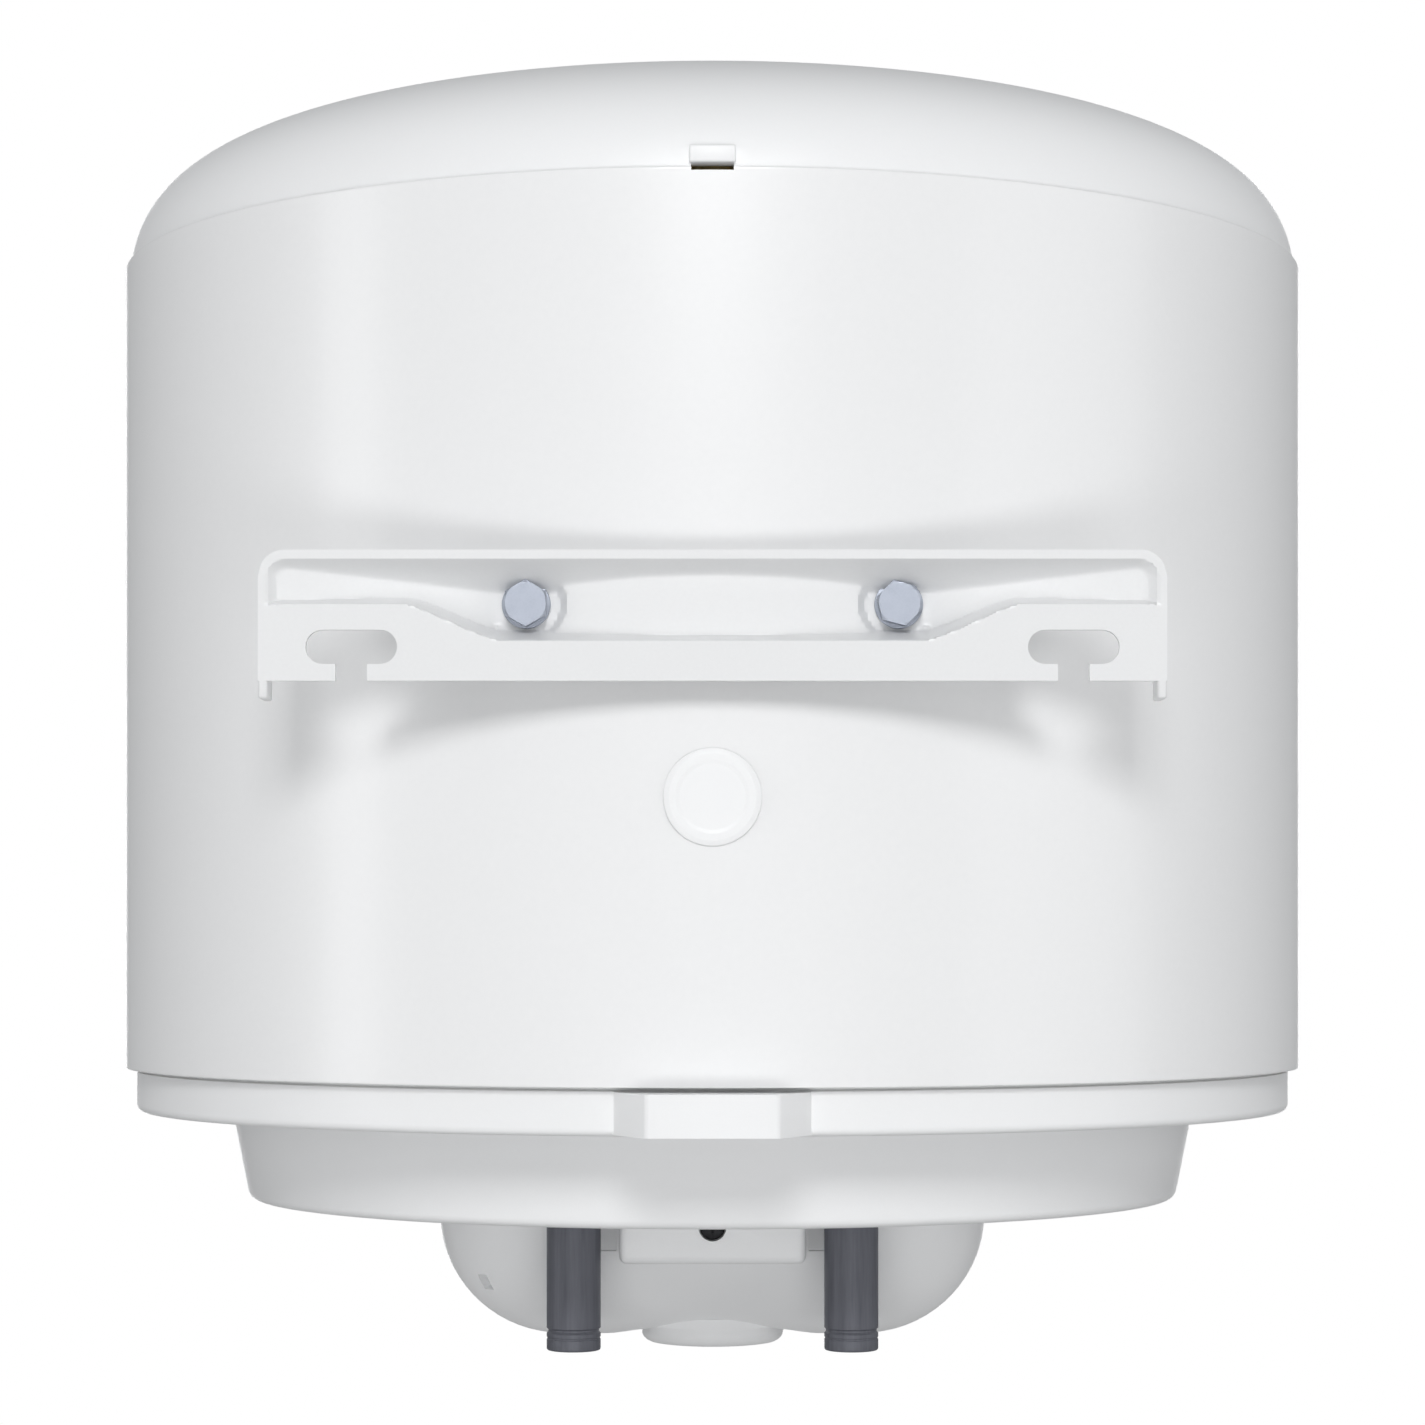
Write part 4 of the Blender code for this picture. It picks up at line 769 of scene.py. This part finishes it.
# %% Bolts and washers
HEX_CORNER, HEAD_HEIGHT = 0.007506, 0.0053
for side, hand in ((-1, "right"), (1, "left")):
    seat = -PAD_DEPTH + 0.0003
    washer = turned(f"{hand}_flat_washer", rounded([
        (0.0078, 0.0012, 0.0003), (0.0078, 0, 0.0003), (0.0043, 0), (0.0043, 0.0012),
    ], steps=3), (0, 0, 0), sides=64, ring=True)
    laid_over(washer, (side * BOLT_X, seat, BOLT_Z))
    present(washer, "heater", "zinc_plate", f"bracket_washer_{hand}")
    bolt = turned(f"{hand}_hex_bolt", [(HEX_CORNER, 0.0), (HEX_CORNER, HEAD_HEIGHT)], (0, 0, 0), sides=6)
    cone = turned("chamfer_cone", [(0.0066, -0.0002), (0.0074, 0.0002), (0.0078, 0.0044), (0.0078, 0.0048),
                                   (0.00655, HEAD_HEIGHT), (0.0060, 0.0056)], (0, 0, 0), sides=96)
    combine(bolt, cone, by="INTERSECT")
    shank = turned("shank", rounded([
        (0.0030, -0.026), (0.00395, -0.0245), (0.00395, 0.002), (0.0030, 0.0025)]), (0, 0, 0), sides=32)
    combine(bolt, shank, by="UNION")
    bolt.rotation_euler.z = math.radians(15 if side < 0 else 0)
    settle(bolt)
    laid_over(bolt, (side * BOLT_X, seat + 0.0015, BOLT_Z))
    present(bolt, "heater", "zinc_plate", f"bracket_bolt_{hand}")

# %% [markdown]
# ## Water pipes
#
# Two steel sleeves carry cold water in and hot water out. Each has two fine grooves near its end, a rounded
# lip and a bore. The two are one outline pulled twice, so that each has its own mesh.

# %% Pipes
PIPE_RADIUS, PIPE_BORE, PIPE_TOP, PIPE_END = 0.00975, 0.0070, -0.151, -0.2360
for side, hand in ((1, "cold"), (-1, "hot")):
    sleeve = turned(f"{hand}_pipe_sleeve", rounded([
        (PIPE_RADIUS, PIPE_TOP), (PIPE_RADIUS, -0.2278), (0.00915, -0.2284), (0.00915, -0.2290),
        (PIPE_RADIUS, -0.2298), (PIPE_RADIUS, -0.2310), (0.00950, -0.2313), (0.00950, -0.2317),
        (PIPE_RADIUS, -0.2320), (PIPE_RADIUS, PIPE_END, 0.0009), (PIPE_BORE, PIPE_END, 0.0004),
        (PIPE_BORE, PIPE_TOP),
    ], steps=3), (side * PIPE_X, PIPE_Y, 0), sides=64, ring=True)
    present(sleeve, "heater", "pipe_grey", f"{hand}_water_nipple")

# %% [markdown]
# ## The electrical cover
#
# The cover is a deep moulded dish, broad at the front and tighter at the wall. A dish like this is a stack of
# ever smaller copies of one outline, so it starts as that outline and is inset again and again while it
# sinks, a little at first for the draft of the side, then along a quarter circle for the round bottom edge.

# %% Dish
COVER_HALF, FRONT, REAR = 0.1035, TANK_Y - 0.105, TANK_Y + 0.057
COVER_TOP, COVER_FOOT, DRAFT, EDGE = -0.1849, -0.2362, 0.1, 0.040
REAR_ROUND, FRONT_ROUND, COVER_WALL = 0.050, 0.080, 0.0022
ring_points = [(x, y, COVER_TOP) for x, y in [
    *arc((COVER_HALF - REAR_ROUND, REAR - REAR_ROUND), REAR_ROUND, 0, 90, 18),
    *arc((-COVER_HALF + REAR_ROUND, REAR - REAR_ROUND), REAR_ROUND, 90, 180, 18),
    *arc((-COVER_HALF + FRONT_ROUND, FRONT + FRONT_ROUND), FRONT_ROUND, 180, 270, 18),
    *arc((COVER_HALF - FRONT_ROUND, FRONT + FRONT_ROUND), FRONT_ROUND, 270, 360, 18)]]
cover = outline_face("moulded_cover", ring_points)
levels = [(0.0, COVER_TOP), ((COVER_TOP - COVER_FOOT - EDGE) * DRAFT, COVER_FOOT + EDGE)]
for x, z in arc((0, COVER_FOOT + EDGE), EDGE, 0, -90, 16)[1:]:
    levels.append((EDGE - x + (COVER_TOP - z) * DRAFT, z))
bpy.ops.object.mode_set(mode="EDIT")
bpy.ops.mesh.select_all(action="SELECT")
bpy.ops.mesh.normals_make_consistent(inside=False)
bpy.ops.object.mode_set(mode="OBJECT")
way = -1.0 if cover.data.polygons[0].normal.z > 0 else 1.0
bpy.ops.object.mode_set(mode="EDIT")
bpy.ops.mesh.select_all(action="SELECT")
for (inset, z), (next_inset, next_z) in zip(levels, levels[1:]):
    bpy.ops.mesh.inset(thickness=next_inset - inset, depth=way * (z - next_z), use_even_offset=True)
bpy.ops.mesh.select_all(action="SELECT")
bpy.ops.mesh.normals_make_consistent(inside=False)
bpy.ops.object.mode_set(mode="OBJECT")
wall = cover.modifiers.new("wall", "SOLIDIFY")
wall.thickness = COVER_WALL
wall.offset = -1.0
wall.use_even_offset = True
bpy.ops.object.modifier_apply(modifier="wall")
settle(cover)
print("dish runs from", round(min(v.co.z for v in cover.data.vertices), 4), "to",
      round(max(v.co.z for v in cover.data.vertices), 4))

# %% [markdown]
# ### Lug, knob dish and openings
#
# At the wall side a lug takes the screw that holds the cover. The knob sits in a shallow dish whose rim is
# eased, so the cutter for it is turned with a soft flare. A shallow pocket in the wall clears each pipe, and
# a deeper blind slot in one corner has a boss behind it. Their cutters are tipped to the slope of the wall,
# so each floor is even.

# %% Lug and openings
SCREW_Z, GLAND_X, LAMP_X, FITTING_Y = -0.1917, -0.045, 0.030, TANK_Y - 0.055
SEAT_RADIUS, SEAT_Z, FLARE_STEPS = 0.0275, -0.2311, 8
lug = block("lug", (-0.0337, REAR - 0.004, -0.205), (0.0337, TANK_Y + 0.075, COVER_TOP),
            rounding=0.003, steps=4)
dish_seat = turned("dish_seat", [(0.036, -0.2351), (0.036, -0.2289)], sides=96)
combine(cover, lug, dish_seat, by="UNION")
flare = [(SEAT_RADIUS, SEAT_Z)]
for t in range(1, FLARE_STEPS + 1):
    flare.append((SEAT_RADIUS + 0.0155 * t / FLARE_STEPS, SEAT_Z - 0.0052 * (t / FLARE_STEPS) ** 2.2))
flare.append((0.044, -0.2400))
combine(cover,
        turned("knob_dish", flare, sides=128),
        turned("spindle_drill", [(0.0075, -0.245), (0.0075, -0.22)], sides=48),
        block("lug_core", (-0.0307, REAR + 0.0025, -0.202), (0.0307, REAR + 0.0116, -0.17)),
        rod_to_wall("screw_mouth", 0.00495, 0, SCREW_Z, TANK_Y + 0.071, TANK_Y + 0.085),
        rod_to_wall("screw_drill", 0.0021, 0, SCREW_Z, REAR + 0.006, TANK_Y + 0.075, sides=24),
        turned("gland_drill", [(0.0075, -0.25), (0.0075, -0.22)], (GLAND_X, FITTING_Y, 0), sides=48),
        turned("lamp_drill", [(0.0043, -0.25), (0.0043, -0.22)], (LAMP_X, FITTING_Y, 0), sides=32))


def slanted_block(name, at, size, inner, outer, dip, turn):
    """A block set in a wall, from an inner to an outer reach. It faces along X, then dips and turns."""
    half_width, half_height = size[0] / 2, size[1] / 2
    made = block(name, (inner, -half_width, -half_height), (outer, half_width, half_height), rounding=0.0003)
    made.rotation_euler = (0, dip, turn)
    made.location = at
    return settle(made)


corner_at = (0.0840, TANK_Y + 0.0363, -0.215)
corner_lean = (math.radians(28), math.radians(43.85))
boss = slanted_block("slot_boss", corner_at, (0.0076, 0.0094), -0.0065, -0.0007, *corner_lean)
combine(cover, boss, by="UNION")
combine(cover, slanted_block("blind_slot", corner_at, (0.0050, 0.0068), -0.0050, 0.008, *corner_lean))
for side, hand in ((-1, "hot"), (1, "cold")):
    combine(cover, slanted_block(f"{hand}_relief", (side * 0.0455, REAR - 0.0002, -0.187), (0.021, 0.030),
                                 -0.0016, 0.008, math.atan(DRAFT), math.radians(90)))
present(cover, "heater", "cap_plastic", "electrical_cover")

# %% [markdown]
# ## The thermostat knob
#
# The knob is a broad low button with a soft lower edge. Fingers turn it by shallow flutes, and a moulded line
# shows where it points. The button is turned, the flutes are one drill copied round it, and the line is a
# rounded block joined on.

# %% Knob
SPINDLE, SPINDLE_GAP, FLUTE_CENTRE, FLUTES = 0.0030, 0.0003, 0.0282, 24
knob = turned("fluted_knob", rounded([
    (SPINDLE + SPINDLE_GAP, -0.2335), (0.0033, -0.2185), (0.0060, -0.2185, 0.0004), (0.0060, -0.2318, 0.0008),
    (0.0270, -0.2318, 0.0006), (0.0270, -0.2404, 0.0045), (0.0160, -0.2404, 0.0015),
    (0.0150, -0.2396, 0.0010), (0.0040, -0.2394),
]), sides=144)
for index in range(FLUTES):
    angle = 2 * math.pi * (index + 0.5) / FLUTES
    place = (FLUTE_CENTRE * math.cos(angle), TANK_Y + FLUTE_CENTRE * math.sin(angle), 0)
    combine(knob, turned("flute", [(0.0016, -0.2415), (0.0016, -0.2385), (0.0010, -0.2370)], place, sides=12))
pointer = block("pointer", (-0.0011, TANK_Y - 0.024, -0.2406), (0.0011, TANK_Y - 0.016, -0.2398),
                rounding=0.0002)
combine(knob, pointer, by="UNION")
present(knob, "knob", "cap_plastic", "temperature_knob")

# %% [markdown]
# ## Small fittings
#
# A pan-head screw with a cross recess holds the cover, a rubber grommet guards the mains cable's hole, and a
# small amber lens shows when the element is on.

# %% Cover screw
screw = turned("cross_recess_screw", rounded([
    (0.0008, -0.0105), (0.0018, -0.0095), (0.0018, 0), (0.0046, 0, 0.0002), (0.0046, 0.0014, 0.0007),
    (0.0015, 0.0024),
]), (0, 0, 0), sides=48)
for name, half_x, half_y in (("cross_bar", 0.0021, 0.0004), ("cross_post", 0.0004, 0.0021)):
    combine(screw, block(name, (-half_x, -half_y, 0.0012), (half_x, half_y, 0.004)))
laid_over(screw, (0, TANK_Y + 0.0713, SCREW_Z))
# The head fills the recess, and its black finish stands in for the shade deep in the screw hole: painted
# shade.
present(screw, "heater", "black_steel", "cover_screw")

# %% Grommet and lens
grommet = turned("cable_hole_grommet", rounded([
    (0.0070, 0.0045, 0.0003), (0.0070, -0.0003, 0.0001), (0.0100, -0.0003, 0.0002), (0.0095, -0.0022, 0.0008),
    (0.0045, -0.0022, 0.0008), (0.0045, 0.0045, 0.0003),
]), (GLAND_X, FITTING_Y, COVER_FOOT), sides=64, ring=True)
present(grommet, "heater", "black_rubber", "cable_grommet")
lens = turned("lamp_lens", [
    (0.0040, 0.0040), (0.0040, -0.0003), (0.0060, -0.0003), (0.0058, -0.0009), (0.0050, -0.0015),
    (0.0036, -0.0019), (0.0018, -0.0022),
], (LAMP_X, FITTING_Y, COVER_FOOT), sides=64)
present(lens, "heater", "amber_lens", "pilot_lamp_lens")

# %% [markdown]
